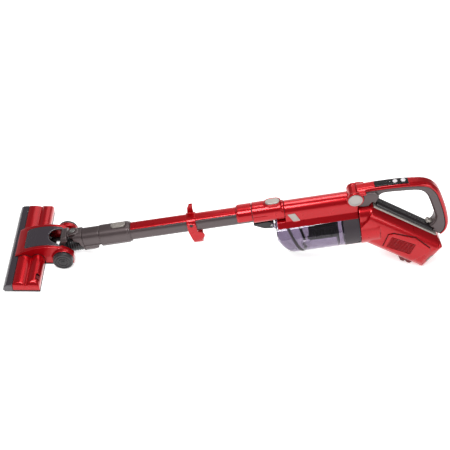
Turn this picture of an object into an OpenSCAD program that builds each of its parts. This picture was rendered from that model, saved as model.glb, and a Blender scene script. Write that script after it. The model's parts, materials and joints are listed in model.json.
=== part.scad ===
// Cordless stick vacuum, lying along +X with its floor head at -X and its handle at +X.
// The floor is z = 0, the plane y = 0 is the middle, and the near side is -Y. Sizes in mm.

/* [Floor head] */
// Width of the floor head, side to side
head_w = 276; // [240:1:330]
// Depth of the floor head sole, front to back
head_d = 87; // [78:1:110]
// Height of the rear ridge of the head above its half-round centre
ridge_r = 15.5; // [13:0.5:20]
// Wall of the head mouldings
head_wall = 2.5; // [1.6:0.1:3.5]
// Depth of the grey front bumper
bumper_d = 24; // [18:0.5:28]
// Half width of the raised centre arch at its crown
arch_half = 41; // [38:0.5:46]
// Height of the crown of the centre arch above the floor
arch_top = 53.5; // [50:0.5:60]
// Radius of the round opening in the arch that the neck passes through
recess_r = 24; // [23:0.5:27]
// Radius of the rear wheels
wheel_r = 23.8; // [20:0.2:26]
// Width of each rear wheel
wheel_w = 14; // [10:0.5:16]
// Radius of the pins that carry the wheels and the neck
pin_r = 3; // [2:0.1:4]
// Radius of the brush roll at its bristle tips
brush_r = 12; // [10:0.2:12.4]
// Radius of the brush roll core
brush_core_r = 8; // [6.5:0.1:9]
// Radius of the brush motor can
brush_motor_r = 10.2; // [8:0.1:10.6]

/* [Neck and wand] */
// Distance from the neck pivot to the swing pin
swing_reach = 28; // [26:0.2:36]
// Length of the knuckle behind the swing pin
knuckle_len = 22; // [20:0.5:30]
// Length of the short neck tube
neck_len = 43; // [36:1:60]
// Length of the socket that takes the wand
socket_len = 75; // [66:1:100]
// Length of wand seen between the socket and the body
wand_seen = 296; // [180:1:420]
// Width of the wand tube
tube_w = 37.7; // [34:0.1:39]
// Height of the wand tube
tube_h = 38.7; // [36:0.1:40]
// Wall of the wand tube
tube_wall = 1.8; // [1.2:0.1:2.4]
// Depth the wand goes into the socket and into the body
tube_grip = 38; // [30:1:42]
// Running clearance all round the wand in its sockets
tube_fit = 0.25; // [0.15:0.05:0.5]
// Radius of the corrugated hose over its ribs
hose_r = 18.4; // [16:0.2:18.8]
// Number of ribs on the hose
hose_ribs = 7; // [5:1:9]
// Width of the accessory clip along the wand
clip_w = 22; // [16:0.5:30]
// Inside radius of the accessory clip jaw
jaw_r = 17; // [14:0.5:19]

/* [Main body] */
// Length of the body from the nose to the handle hinge
body_len = 241; // [236:1:300]
// Radius of the dust bin
bin_r = 50; // [46:0.5:54]
// Wall of the clear dust bin
bin_wall = 2; // [1.4:0.1:3]
// Width of the motor housing
pod_w = 94; // [86:1:102]
// Height of the motor housing
pod_h = 95.5; // [90:0.5:104]
// Length of the motor housing along its own axis
pod_len = 281; // [274:1:310]
// Slope of the motor housing below the line of the wand
pod_slope = 40; // [36:0.5:44]
// Wall of the body mouldings
wall = 2.5; // [1.8:0.1:3]
// Radius of the fan motor
motor_r = 28; // [22:0.5:32]
// Number of louvres in each exhaust grille
louvres = 9; // [5:1:11]

/* [Battery and handle] */
// Width of the battery pack
battery_w = 34; // [28:0.5:35]
// Height the battery pack stands above the housing rim
battery_rise = 10; // [6:0.5:13]
// Thickness of the handle, side to side
handle_w = 30; // [26:0.5:34]
// Thickness of the red outer cover of the handle
cover_t = 9; // [7:0.2:11]
// Radius of the hinge barrel
barrel_r = 15.5; // [13:0.1:16.5]
// Radius of the silver cap on the hinge
cap_r = 16.7; // [14:0.1:17.5]
// Radius of the hinge pin
hinge_pin_r = 4; // [3:0.1:5]
// Radius of the two buttons on the handle
button_r = 5.5; // [4:0.1:6]

/* [Fits] */
// Running clearance of the pins in their bores
run_fit = 0.06; // [0.03:0.01:0.1]
// Gap between pieces that move past each other
slide_gap = 0.4; // [0.3:0.05:0.6]

/* [Hidden] */
$fn = 48;
eps = 0.01;

// Places along the wand line, measured from the handle hinge (x = 0, z = 0), wand line along X.
nose_x = -body_len;
sock_x1 = nose_x - wand_seen;
sock_x0 = sock_x1 - socket_len;
neck_x0 = sock_x0 - neck_len;
swing_x = neck_x0 - knuckle_len;
pivot_x = swing_x - swing_reach;
tube_z = -16.2;
hose_z = -30;
pivot_z = -29.4;
bin_z = -44 - bin_r;
pod_top = 2;
pod_bot = pod_top - pod_h;

// The neck pivot is the wheel axle line of the head.
axle_x = head_d + 45;
axle_z = wheel_r;

// The stick leans back until the motor housing rests on the floor.
low_r = 30;
low_d = pod_len - low_r;
low_n = pod_bot + low_r;
low_x = low_d * cos(pod_slope) + low_n * sin(pod_slope) - pivot_x;
low_z = -low_d * sin(pod_slope) + low_n * cos(pod_slope) - pivot_z;
rest_pitch = asin((low_r - axle_z) / norm([low_x, low_z])) - atan2(low_z, low_x);

// Control points of the handle's outer line and of its inner line, from the hinge backwards.
outer_pts = [[6, 19.6], [50, 20.8], [96, 20], [131, 17], [158, 12.4], [176, 4.4], [188, -8],
  [197, -24], [205, -50], [212, -78], [216.5, -104], [218.4, -126], [215.5, -146], [206, -160], [190, -172]];
inner_pts = [[40, -27], [58, -7], [70, -1.6], [104, -3.6], [140, -7.5], [157, -14], [167, -27],
  [173, -44], [178.5, -64], [184, -86], [187, -100], [183, -116], [172, -128]];
function cr(p, i, t) = let (a = p[max(i - 1, 0)], b = p[i], c = p[i + 1], d = p[min(i + 2, len(p) - 1)])
  0.5 * ((2 * b) + (c - a) * t + (2 * a - 5 * b + 4 * c - d) * t * t + (3 * b - a - 3 * c + d) * t * t * t);
function smooth(p, n) = [for (i = [0 : len(p) - 2], k = [0 : n - 1]) cr(p, i, k / n), p[len(p) - 1]];
outer_line = smooth(outer_pts, 4);

// The handle reaches furthest back, and the frame's origin is midway along the whole.
tail = [for (p = outer_line) (p[0] - pivot_x) * cos(rest_pitch) - (p[1] - pivot_z) * sin(rest_pitch)];
total_len = axle_x + max(tail);
origin_x = total_len / 2;

module at_head() translate([-origin_x, 0, 0]) children();
module at_stick()
  translate([axle_x - origin_x, 0, axle_z]) rotate([0, -rest_pitch, 0])
    translate([-pivot_x, 0, -pivot_z]) children();
module at_pod() at_stick() rotate([0, pod_slope, 0]) children();

// A flat (x, z) outline stood up between two y values.
module slab(y0, y1) translate([0, y1, 0]) rotate([90, 0, 0]) linear_extrude(y1 - y0) children();
// A flat (y, z) outline run between two x values.
module run(x0, x1) translate([x0, 0, 0]) rotate([90, 0, 90]) linear_extrude(x1 - x0) children();
module ycyl(x, z, r, y0, y1) translate([x, y0, z]) rotate([-90, 0, 0]) cylinder(h = y1 - y0, r = r);
module xcyl(x0, x1, y, z, r) translate([x0, y, z]) rotate([0, 90, 0]) cylinder(h = x1 - x0, r = r);
module box(x0, x1, y0, y1, z0, z1) translate([x0, y0, z0]) cube([x1 - x0, y1 - y0, z1 - z0]);
// A rectangle with round corners, and one whose ends are half circles.
module rrect(w, h, r) {
  square([w - 2 * r, h], center = true);
  square([w, h - 2 * r], center = true);
  for (sx = [-1, 1], sy = [-1, 1]) translate([sx * (w / 2 - r), sy * (h / 2 - r)]) circle(r);
}
module stadium(w, h) {
  square([w - h, h], center = true);
  for (s = [-1, 1]) translate([s * (w - h) / 2, 0]) circle(h / 2);
}
module both() {
  children();
  mirror([0, 1, 0]) children();
}

// ---------- Floor head ----------
front_z = 28;
ridge_x = head_d - ridge_r - 0.5;
ridge_z = 18;
roll_x = 40;
roll_z = brush_r + 0.4;

// Points along an arc in an outline, from angle a0 to angle a1.
function arc(cx, cz, r, a0, a1, n) = [for (i = [0 : n]) let (a = a0 + (a1 - a0) * i / n)
  [cx + r * cos(a), cz + r * sin(a)]];
skirt_z = 7;
lobe_r = 26;
lobe_x = bumper_d + 14;
lobe_z = front_z + 2.5 - lobe_r;
module head_outline(t) polygon(concat([[bumper_d + 0.2 + t, skirt_z]],
  arc(lobe_x, lobe_z, lobe_r - t, 122, 46, 12), arc(ridge_x, ridge_z, ridge_r - t, 150, 0, 25),
  [[ridge_x + ridge_r - t, skirt_z]]));
// The rounded ends every head moulding is trimmed to.
module head_ends(x0, x1, t) run(x0, x1) translate([0, 4]) rrect(head_w - 2 * t, 2 * (30.5 - t), 16 - t);
module head_solid(t) intersection() {
  slab(-head_w / 2, head_w / 2) head_outline(t);
  head_ends(-5, head_d + 5, t);
}
slide_y = -head_w / 2 + 21;
module at_slide() translate([ridge_x, slide_y, ridge_z]) rotate([0, 40, 0]) children();

module arch_outline(t) {
  rf = 146;
  rr = 76;
  xc = axle_x - 32;
  x0 = bumper_d - 8 + t;
  x1 = axle_x + 24 - t;
  intersection() {
    translate([xc, arch_top - rf]) circle(rf - t);
    translate([x0, 6]) square([xc - x0 + eps, 80]);
  }
  intersection() {
    translate([xc, arch_top - rr]) circle(rr - t);
    translate([xc, 6]) square([x1 - xc, 80]);
  }
}
module arch_solid(t) intersection() {
  slab(-60, 60) arch_outline(t);
  run(0, 200) polygon([for (p = [[-1, arch_top + 2], [0, arch_top - 3], [4.5, 27], [4.5, 6]])
      [arch_half + p[0] - t, p[1]], for (p = [[4.5, 6], [4.5, 27], [0, arch_top - 3],
      [-1, arch_top + 2]]) [-(arch_half + p[0] - t), p[1]]]);
}
fender_y = arch_half + 6;
module fender_solid() both() difference() {
  ycyl(axle_x, axle_z, wheel_r + 2.8, arch_half - 1, fender_y + 4);
  slab(0, 100) polygon([[axle_x - 60, 6], [axle_x - 27, 6], [axle_x + 24, axle_z + 8],
    [axle_x + 60, axle_z + 10], [axle_x + 60, -60], [axle_x - 60, -60]]);
}
module fender_inside() both() ycyl(axle_x, axle_z, wheel_r + 1, fender_y - 1.2, 120);

module head_top_shell() color("FireBrick") at_head() difference() {
  head_solid(0);
  intersection() {
    slab(-head_w / 2 - 5, head_w / 2 + 5) union() {
      head_outline(head_wall);
      translate([bumper_d + head_wall, 0]) square([head_d - bumper_d - 2 * head_wall - 1, 12]);
    }
    head_ends(-5, head_d + 5, head_wall);
  }
  at_slide() box(-4.9, 4.9, -6, 12, 5, 25);
}
module head_arch_cover() color("FireBrick") at_head() difference() {
  union() {
    arch_solid(0);
    fender_solid();
  }
  arch_solid(head_wall);
  fender_inside();
  slab(-90, 90) head_outline(-0.05);
  box(-5, bumper_d + 0.5, -90, 90, 0, 22.3);
  box(0, head_d, -90, 90, 0, 9);
  both() {
    ycyl(axle_x, axle_z, pin_r + 0.8, 30, 90);
    box(axle_x - pin_r - 0.8, axle_x + pin_r + 0.8, 30, 90, 0, axle_z);
  }
  translate([axle_x - 14, 0, 10]) cylinder(h = 80, r = recess_r);
  box(axle_x - 14, axle_x + 40, -recess_r - 3, recess_r + 3, 0, 80);
  intersection() {
    translate([0, 0, 4]) linear_extrude(90) plate_plan(0.4);
    difference() {
      arch_solid(-1);
      arch_solid(1.7);
    }
  }
}
module plate_plan(g) difference() {
  translate([(bumper_d + 14 + axle_x - 6) / 2, 0]) rrect(axle_x - 20 - bumper_d + 2 * g,
    2 * (arch_half - 8.5 + g), 7);
  translate([axle_x - 14, 0]) circle(recess_r - g);
  translate([axle_x - 14, -recess_r - 3 + g]) square([60, 2 * (recess_r + 3 - g)]);
}
module head_top_plate() color("DimGray") at_head() intersection() {
  translate([0, 0, 4]) linear_extrude(90) difference() {
    plate_plan(0);
    translate([axle_x - 14, 0]) circle(recess_r + 0.8);
  }
  difference() {
    arch_solid(0.1);
    arch_solid(1.6);
  }
}
bracket_y = recess_r + 8;
bracket_out = arch_half + 0.4;
module head_sole() color("#222222") at_head() difference() {
  union() {
    run(4, head_d - 0.6) translate([0, 3.9]) square([head_w - 7, 5.8], center = true);
    box(bumper_d + 34, bumper_d + 36, -head_w / 2 + 18, head_w / 2 - 18, 4, 14);
    both() box(bumper_d + 4, roll_x + 12, head_w / 2 - 16, head_w / 2 - 13, 4, 22);
    box(head_d - 2, axle_x + 20, -fender_y + 1.5, fender_y - 1.5, 2.5, 4.5);
    both() box(head_d + 4, axle_x + 19, bracket_y, bracket_out, 4, 8);
    both() slab(bracket_y, bracket_out) polygon([[axle_x - 24, 4], [axle_x - 9, axle_z + 8],
      [axle_x + 9, axle_z + 8], [axle_x + 17, 4]]);
  }
  both() for (x = [[8, bumper_d + 34], [bumper_d + 36, head_d - 4]])
    for (y = [[-0.1, head_w / 2 - 18], [head_w / 2 - 12, head_w / 2 - 6.5]]) box(x[0], x[1], y[0], y[1], 4.5, 7);
  box(roll_x - 13.5, roll_x + 13.5, -head_w / 2 + 17, head_w / 2 - 17, -1, 6);
  box(axle_x - 28, axle_x + 40, -bracket_y, bracket_y, -1, 9);
  box(roll_x - 14, ridge_x + 12, -head_w / 2 + 4, -head_w / 2 + 12.4, 2.8, 9);
  both() ycyl(roll_x, roll_z, 6.5, head_w / 2 - 17, head_w / 2 - 12);
  both() ycyl(axle_x, axle_z, pin_r, 0, 100);
  for (p = sole_spots) translate([p[0], p[1], -1]) cylinder(h = 3, r = 4.2);
  for (p = sole_spots) translate([p[0], p[1], -1]) cylinder(h = 12, r = 1.5);
}
sole_spots = [for (x = [14, head_d - 14], y = [-1, 1]) [x, y * (head_w / 2 - 9)],
  for (y = [-1, 1]) [head_d + 9, y * (bracket_y + 5)]];
module sole_screws() color("Silver") at_head() for (p = sole_spots)
  translate([p[0], p[1], 1.2]) difference() {
    union() {
      cylinder(h = 0.8, r = 3.8);
      cylinder(h = 5.6, r = 1.5);
    }
    for (a = [0, 90]) rotate(a) translate([0, 0, 0.1]) cube([4.4, 0.9, 0.6], center = true);
  }
module bumper_outline(t) polygon([[1.6 + t, skirt_z], [1.6 + t, 14], [4 + t, 20 - t], [10 + t / 2, 24.6 - t],
  [bumper_d - 1, front_z - 1 - t], [bumper_d, front_z - 1 - t], [bumper_d, skirt_z]]);
module front_bumper() color("Gray") at_head() difference() {
  intersection() {
    slab(-head_w / 2, head_w / 2) bumper_outline(0);
    head_ends(-5, head_d, 0);
  }
  intersection() {
    slab(-head_w / 2, head_w / 2) union() {
      bumper_outline(head_wall);
      translate([6, 0]) square([bumper_d, 12]);
    }
    head_ends(-5, head_d + 5, head_wall);
  }
  box(-5, 2.2, -head_w / 2 + 9.8, head_w / 2 - 9.8, 7.8, 12.2);
  box(bumper_d - 8.3, bumper_d + 2, -arch_half - 4.8, arch_half + 4.8, 22, 40);
}
module bumper_lens() color("LightGray") at_head() slab(-head_w / 2 + 10, head_w / 2 - 10)
  polygon([[0, 8.6], [0, 11.4], [0.8, 12], [2.2, 12], [2.2, 8], [0.8, 8]]);

belt_y = -head_w / 2 + 9;
module brush_roll() color("Gray") at_head() difference() {
  union() {
    ycyl(roll_x, roll_z, brush_core_r, -head_w / 2 + 19, head_w / 2 - 19);
    ycyl(roll_x, roll_z, pin_r, belt_y - 3.4, head_w / 2 - 12.8);
  }
  for (a = [0 : 90 : 270]) translate([roll_x, 0, roll_z]) rotate([0, a, 0])
    box(-0.9, 0.9, -head_w / 2 + 22, head_w / 2 - 22, brush_core_r - 2.2, brush_core_r + 1);
}
module brush_bristles() color("#333333") at_head()
  for (a = [0 : 90 : 270]) translate([roll_x, 0, roll_z]) rotate([0, a, 0])
    box(-0.8, 0.8, -head_w / 2 + 22.1, head_w / 2 - 22.1, brush_core_r - 2.1, brush_r);
module brush_bearings() color("Silver") at_head() both() difference() {
  ycyl(roll_x, roll_z, 6.5, head_w / 2 - 16, head_w / 2 - 13);
  ycyl(roll_x, roll_z, pin_r + run_fit, head_w / 2 - 17, head_w / 2 - 12);
}
motor_z = ridge_z - 1.2;
module brush_motor() color("Silver") at_head() difference() {
  ycyl(ridge_x, motor_z, brush_motor_r, -head_w / 2 + 18, -arch_half - 16);
  ycyl(ridge_x, motor_z, 1.5 + run_fit, -head_w / 2 + 10, -arch_half - 20);
}
module motor_pulley() color("Gold") at_head() {
  ycyl(ridge_x, motor_z, 4.4, belt_y - 3, belt_y + 3);
  ycyl(ridge_x, motor_z, 1.5, belt_y + 2, -arch_half - 24);
}
module brush_pulley() color("#444444") at_head() difference() {
  ycyl(roll_x, roll_z, 7, belt_y - 3, belt_y + 3);
  ycyl(roll_x, roll_z, pin_r, belt_y - 4, belt_y + 4);
}
module belt_loop(g) hull() {
  translate([roll_x, roll_z]) circle(7 + g, $fn = 32);
  translate([ridge_x, motor_z]) circle(4.4 + g, $fn = 32);
}
module drive_belt() color("#111111") at_head() slab(belt_y - 2.5, belt_y + 2.5) difference() {
  belt_loop(1.4);
  belt_loop(0.12);
}
module brush_release_slide() color("DarkRed") at_head() at_slide() {
  box(-4.4, 4.4, -5, 4, 11.6, ridge_r + 1.2);
  for (y = [-3.6 : 2.4 : 3.6]) box(-4.4, 4.4, y - 0.5, y + 0.5, ridge_r, ridge_r + 1.8);
}
module wheel() difference() {
  ycyl(axle_x, axle_z, wheel_r, fender_y, fender_y + wheel_w);
  ycyl(axle_x, axle_z, pin_r + run_fit, fender_y - 1, fender_y + wheel_w + 1);
  for (r = [0.46, 0.72]) difference() {
    ycyl(axle_x, axle_z, wheel_r * r + 1.1, fender_y + wheel_w - 1.6, fender_y + wheel_w + 1);
    ycyl(axle_x, axle_z, wheel_r * r - 1.1, fender_y + wheel_w - 2, fender_y + wheel_w + 2);
  }
  difference() {
    ycyl(axle_x, axle_z, wheel_r + 1, fender_y + wheel_w - 1.4, fender_y + wheel_w + 1);
    ycyl(axle_x, axle_z, wheel_r - 1.6, fender_y + wheel_w - 2, fender_y + wheel_w + 2);
  }
}
module rear_wheel_near() color("#333333") at_head() mirror([0, 1, 0]) wheel();
module rear_wheel_far() color("#333333") at_head() wheel();
leg_y = hose_r + 0.5;
module head_axle_pins() color("Silver") at_head() both() {
  ycyl(axle_x, axle_z, pin_r, leg_y + 0.2, fender_y + wheel_w + 0.4);
  ycyl(axle_x, axle_z, pin_r + 2, fender_y + wheel_w + 0.3, fender_y + wheel_w + 1.6);
}

// ---------- Neck ----------
leg_out = recess_r - 0.5;
module neck_cradle() color("Gray") at_stick() difference() {
  union() {
    intersection() {
      union() {
        both() slab(leg_y, leg_out) polygon([[pivot_x - 8, pivot_z], [pivot_x - 8, pivot_z + 22],
          [pivot_x + 2, 8], [swing_x - 14, 12], [swing_x - 13, 2], [pivot_x + 4, pivot_z + 18],
          [pivot_x + 5, pivot_z]]);
        slab(-leg_out, leg_out) polygon([[pivot_x - 3, 4], [pivot_x + 2, 8],
          [swing_x - 14, 12], [swing_x - 13, 0], [pivot_x + 5, -7]]);
      }
      run(pivot_x - 30, swing_x) translate([0, -14]) rrect(2 * leg_out, 51, 15);
    }
    both() ycyl(pivot_x, pivot_z, 8, leg_y, leg_out);
    box(swing_x - 15, swing_x, -9, 9, 2.2, 8);
    translate([swing_x, 0, 2.2]) cylinder(h = 5.8, r = 9);
    xcyl(pivot_x - 3, pivot_x + 4, 0, hose_z, 19.5);
  }
  xcyl(pivot_x - 10, pivot_x + 10, 0, hose_z, hose_r - 3.4);
  translate([swing_x, 0, 0]) cylinder(h = 20, r = 3 + run_fit);
  both() ycyl(pivot_x, pivot_z, pin_r + run_fit, leg_y - 1, 40);
}
module swing_pin() color("Silver") at_stick() translate([swing_x, 0, 0]) {
  translate([0, 0, -3]) cylinder(h = 16, r = 3);
  translate([0, 0, 11.2]) cylinder(h = 1.6, r = 6.4);
}
module neck_knuckle() color("Gray") at_stick() difference() {
  union() {
    intersection() {
      slab(-20, 20) polygon([[swing_x, -6], [swing_x, 10.6], [swing_x + 4, 10.6], [neck_x0, 8.4],
        [neck_x0, -30], [neck_x0 - 7, -26], [swing_x + 12, -12]]);
      run(swing_x - 1, neck_x0) translate([0, -14]) rrect(40, 50, 16);
    }
    translate([swing_x, 0, -6]) cylinder(h = 17, r = 12.4);
    difference() {
      xcyl(neck_x0 - 3, neck_x0, 0, hose_z, 20.5);
      box(neck_x0 - 5, neck_x0 + 1, -30, 30, hose_z + 12, hose_z + 40);
    }
  }
  xcyl(swing_x - 20, neck_x0 - 3, 0, hose_z, hose_r + 1);
  xcyl(neck_x0 - 4, neck_x0 + 1, 0, hose_z, hose_r - 3.4);
  translate([swing_x, 0, 1.7]) cylinder(h = 6.8, r = 14.5);
  box(swing_x - 20, swing_x, -22, 22, 1.7, 8.5);
  translate([swing_x, 0, -10]) cylinder(h = 40, r = 3);
}
module neck_hose() color("#555555") at_stick() difference() {
  union() {
    xcyl(pivot_x + 4, neck_x0 - 3, 0, hose_z, hose_r - 2.4);
    for (i = [0 : hose_ribs - 1]) translate([pivot_x + 6.5 + i * (neck_x0 - pivot_x - 12.5) / (hose_ribs - 1), 0, 0])
      xcyl(-1.3, 1.3, 0, hose_z, hose_r);
  }
  xcyl(pivot_x, neck_x0, 0, hose_z, hose_r - 3.6);
}
module neck_section(t) {
  translate([0, -14]) rrect(40 - 2 * t, 45 - 2 * t, 17 - t);
}
module neck_tube() color("Gray") at_stick() difference() {
  union() {
    run(neck_x0, sock_x0) neck_section(0);
    slab(-19.5, 19.5) polygon([[neck_x0, -18], [neck_x0, -30], [neck_x0 + 18, -30], [neck_x0 + 30, -18]]);
    intersection() {
      xcyl(neck_x0, neck_x0 + 34, 0, hose_z, 20.2);
      slab(-30, 30) polygon([[neck_x0, -60], [neck_x0, 0], [neck_x0 + 34, 0], [neck_x0 + 34, -38],
        [neck_x0 + 16, -47], [neck_x0 + 7, -50.5]]);
    }
    run(neck_x0 + 1, sock_x0) translate([0, -26]) square([42.4, 3], center = true);
  }
  xcyl(neck_x0 - 1, neck_x0 + 30, 0, hose_z, 15);
  run(neck_x0 + 16, sock_x0 + 1) translate([0, tube_z]) rrect(tube_w - 10, tube_h - 10, 11);
}
socket_w = tube_w + 7.3;
socket_h = tube_h + 12.3;
module wand_socket() color("Gray") at_stick() difference() {
  union() {
    run(sock_x0, sock_x1 - 5) translate([0, tube_z]) rrect(socket_w, socket_h, 19);
    run(sock_x1 - 5 - eps, sock_x1) translate([0, tube_z]) rrect(socket_w - 3.6, socket_h - 4.4, 17);
    run(sock_x0 + 3, sock_x1 - 7) translate([0, -25]) square([socket_w + 1.2, 2.4], center = true);
  }
  run(sock_x0 - 1, sock_x0 + 31) translate([0, tube_z]) rrect(tube_w - 10, tube_h - 10, 11);
  run(sock_x1 - tube_grip - 1, sock_x1 + 1) translate([0, tube_z])
    rrect(tube_w + 2 * tube_fit, tube_h + 2 * tube_fit, 14 + tube_fit);
  run(sock_x0 + 30, sock_x1 - tube_grip) translate([0, tube_z]) rrect(tube_w - 10, tube_h - 10, 11);
  translate([sock_x1 - 27, 0, tube_z + tube_h / 2 + 1.8]) linear_extrude(20) stadium(37, 17.6);
}
module head_release_button() color("Wheat") at_stick()
  translate([sock_x1 - 27, 0, tube_z + tube_h / 2 + 3.6]) {
    linear_extrude(4.2) stadium(35.8, 16.4);
    linear_extrude(5.2) stadium(32.6, 13.2);
    for (i = [-3 : 3]) translate([i * 3.4, 0, 5]) cube([1, 8, 1.2], center = true);
  }

// ---------- Wand ----------
tube_x0 = sock_x1 - tube_grip;
tube_x1 = nose_x + tube_grip;
skin = 1.4;
module top_strip(x0, x1, a, b, z0) intersection() {
  run(x0, x1) translate([0, tube_z]) difference() {
    rrect(tube_w - 2 * a, tube_h - 2 * a, 14 - a);
    rrect(tube_w - 2 * b, tube_h - 2 * b, 14 - b);
  }
  box(x0 - 1, x1 + 1, -50, 50, z0, 50);
}
module wand_tube() color("Gray") at_stick() difference() {
  run(tube_x0, tube_x1) translate([0, tube_z]) difference() {
    rrect(tube_w, tube_h, 14);
    rrect(tube_w - 2 * (tube_wall + skin), tube_h - 2 * (tube_wall + skin), 14 - tube_wall - skin);
  }
  top_strip(sock_x1 + 1, nose_x - 35, -1, skin, tube_z + 15.6);
  ycyl(clip_x, -7.4, 1.6, -tube_w, -tube_w / 2 + 6);
}
module wand_cover() color("FireBrick") at_stick() {
  difference() {
    union() {
      run(nose_x - 34.8, nose_x - 1) translate([0, tube_z + 2]) rrect(tube_w + 7, tube_h + 7.6, 18);
      run(nose_x - 38, nose_x - 34.7) translate([0, tube_z + 1]) rrect(tube_w + 4, tube_h + 5, 16);
    }
    run(nose_x - 39, nose_x) translate([0, tube_z]) rrect(tube_w + 0.1, tube_h + 0.1, 14.05);
    box(nose_x - 40, nose_x, -40, 40, -80, tube_z - 4);
  }
  top_strip(sock_x1 + 1.2, nose_x - 35.2, 0, skin - 0.05, tube_z + 15.9);
  top_strip(nose_x - 37.9, nose_x - 35.2, -0.5, skin - 0.05, tube_z + 15.9);
}
clip_x = sock_x1 + 149;
side_y = tube_w / 2 + 3.2;
jaw_z = tube_z - tube_h / 2 - 3 - jaw_r;
module accessory_clip() color("FireBrick") at_stick() difference() {
  union() {
    run(clip_x - clip_w / 2, clip_x + clip_w / 2) translate([0, tube_z]) difference() {
      rrect(tube_w + 6.4, tube_h + 6.4, 17.2);
      rrect(tube_w, tube_h, 14);
    }
    slab(-side_y - 1.2, -side_y + 1.6) polygon([[clip_x - 10, -2], [clip_x + 11, -5],
      [clip_x + 12, jaw_z], [clip_x - 5, jaw_z], [clip_x - 10, -30]]);
    slab(-side_y - 1.2, -side_y + 1.6) translate([clip_x + 14, -42]) circle(12);
    slab(8, 11.5) polygon([[clip_x - 9, -2], [clip_x - 5, 22], [clip_x + 1, 34], [clip_x + 10, 34],
      [clip_x + 8, 20], [clip_x + 8, -2]]);
    slab(4, 8 + eps) polygon([[clip_x - 2, 30], [clip_x + 1, 34], [clip_x + 10, 34], [clip_x + 9.5, 30]]);
    run(clip_x - 4, clip_x + 18) translate([0, jaw_z]) difference() {
      circle(jaw_r + 4);
      circle(jaw_r);
      polygon([[0, 0], [60, -16], [60, 60], [-60, 60], [-60, 4]]);
    }
    box(clip_x - 4, clip_x + 12, -jaw_r - 4, -jaw_r, jaw_z - 6, jaw_z + 8);
  }
  run(clip_x - 40, clip_x + 40) translate([0, tube_z]) rrect(tube_w + 0.1, tube_h + 0.1, 14.05);
  run(clip_x - 40, clip_x + 40) translate([0, jaw_z]) circle(jaw_r);
  ycyl(clip_x, -7.4, 2.1, -60, -10);
  ycyl(clip_x, -7.4, 4.2, -60, -side_y + 0.2);
}
module clip_screw() color("Silver") at_stick() difference() {
  union() {
    ycyl(clip_x, -7.4, 3.9, -side_y - 1.4, -side_y + 0.2);
    ycyl(clip_x, -7.4, 1.6, -side_y, -tube_w / 2 + 3);
  }
  translate([clip_x, -side_y - 1.4, -7.4]) cube([5, 1.2, 1.1], center = true);
  translate([clip_x, -side_y - 1.4, -7.4]) cube([1.1, 1.2, 5], center = true);
}

// ---------- Main body ----------
nose_x1 = nose_x + 75;
nose_w = tube_w + 7;
module nose_collar() color("FireBrick") at_stick() difference() {
  union() {
    run(nose_x, nose_x1 - 6) translate([0, tube_z + 2.4]) rrect(nose_w, tube_h + 9.6, 19);
    run(nose_x1 - 6 - eps, nose_x1) translate([0, tube_z - 0.2]) rrect(nose_w - 1, tube_h + 4.4, 19);
    translate([nose_x + 50, 0, 4]) linear_extrude(9) stadium(41, 27);
  }
  run(nose_x - 1, nose_x + tube_grip + 1) translate([0, tube_z])
    rrect(tube_w + 2 * tube_fit, tube_h + 2 * tube_fit, 14 + tube_fit);
  run(nose_x + tube_grip, nose_x1 + 1) translate([0, tube_z - 1]) rrect(tube_w - 10, tube_h - 10, 12);
  translate([nose_x + 50, 0, 6.6]) linear_extrude(20) stadium(35, 20.8);
  both() for (z = [2.6, -10]) slab(-nose_w / 2 - 1, -nose_w / 2 + 1.4)
    polygon([[nose_x - 1, z - 1.4], [nose_x - 1, z + 1.4], [nose_x + 35, z + 1.2], [nose_x + 37, z], [nose_x + 35, z - 1.2]]);
}
module wand_release_button() color("LightGray") at_stick()
  translate([nose_x + 50, 0, 8.6]) {
    linear_extrude(5.2) stadium(34, 19.8);
    linear_extrude(6.2) stadium(30, 15.8);
  }
beam_r = 22;
beam_x1 = 4.6;
module beam_section(t) {
  translate([0, -18]) circle(beam_r - t);
  translate([-beam_r + t, -42 + (t > 0 ? 1.2 : 0)]) square([2 * (beam_r - t), 24]);
}
module bin_space(g) xcyl(-body_len + 30, 4.8, 0, bin_z, bin_r + g);
module upper_beam() color("FireBrick") at_stick() difference() {
  union() {
    run(nose_x1, beam_x1) beam_section(0);
    run(nose_x + 54, beam_x1) polygon([[-beam_r, -38.6], [-31, -54], [-30, -58], [30, -58], [31, -54], [beam_r, -38.6]]);
    ycyl(0, 0, barrel_r, -17.2, 13.8);
    box(-14, 0, -17.2, 13.8, -18, 2);
  }
  run(nose_x1 - 1, -24) beam_section(wall);
  bin_space(0.5);
  ycyl(0, 0, 20.6, -60, -17.2);
  ycyl(0, 0, barrel_r + 0.6, 13.8, 60);
  box(0, 40, -60, -17.2, -19, 40);
  box(0, 40, 13.8, 60, -19, 40);
  ycyl(0, 0, hinge_pin_r + run_fit, -40, 40);
  both() slab(-beam_r - 1, -beam_r + 1) inlay_outline(0.15);
}
module inlay_outline(g) offset(delta = g) polygon([[-160, -16.5], [-142.5, -15.8], [-132, -40],
  [-148, -40.8]]);
// The motor housing section, in the pod's own (y, n) plane.
crown_r = 34;
keel_r = 28;
module pod_section(t) {
  w = pod_w - 2 * t;
  translate([-w / 2, pod_bot + keel_r]) square([w, pod_h - crown_r - keel_r]);
  translate([-pod_w / 2 + crown_r, pod_bot + keel_r]) square([pod_w - 2 * crown_r, pod_h - keel_r - t]);
  translate([-pod_w / 2 + keel_r, pod_bot + t]) square([pod_w - 2 * keel_r, pod_h - crown_r]);
  for (s = [-1, 1]) {
    translate([s * (pod_w / 2 - crown_r), pod_top - crown_r]) circle(crown_r - t);
    translate([s * (pod_w / 2 - keel_r), pod_bot + keel_r]) circle(keel_r - t);
  }
}
cap_d = pod_len - 23;
top_r = 44;
side_r = 38;
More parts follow.
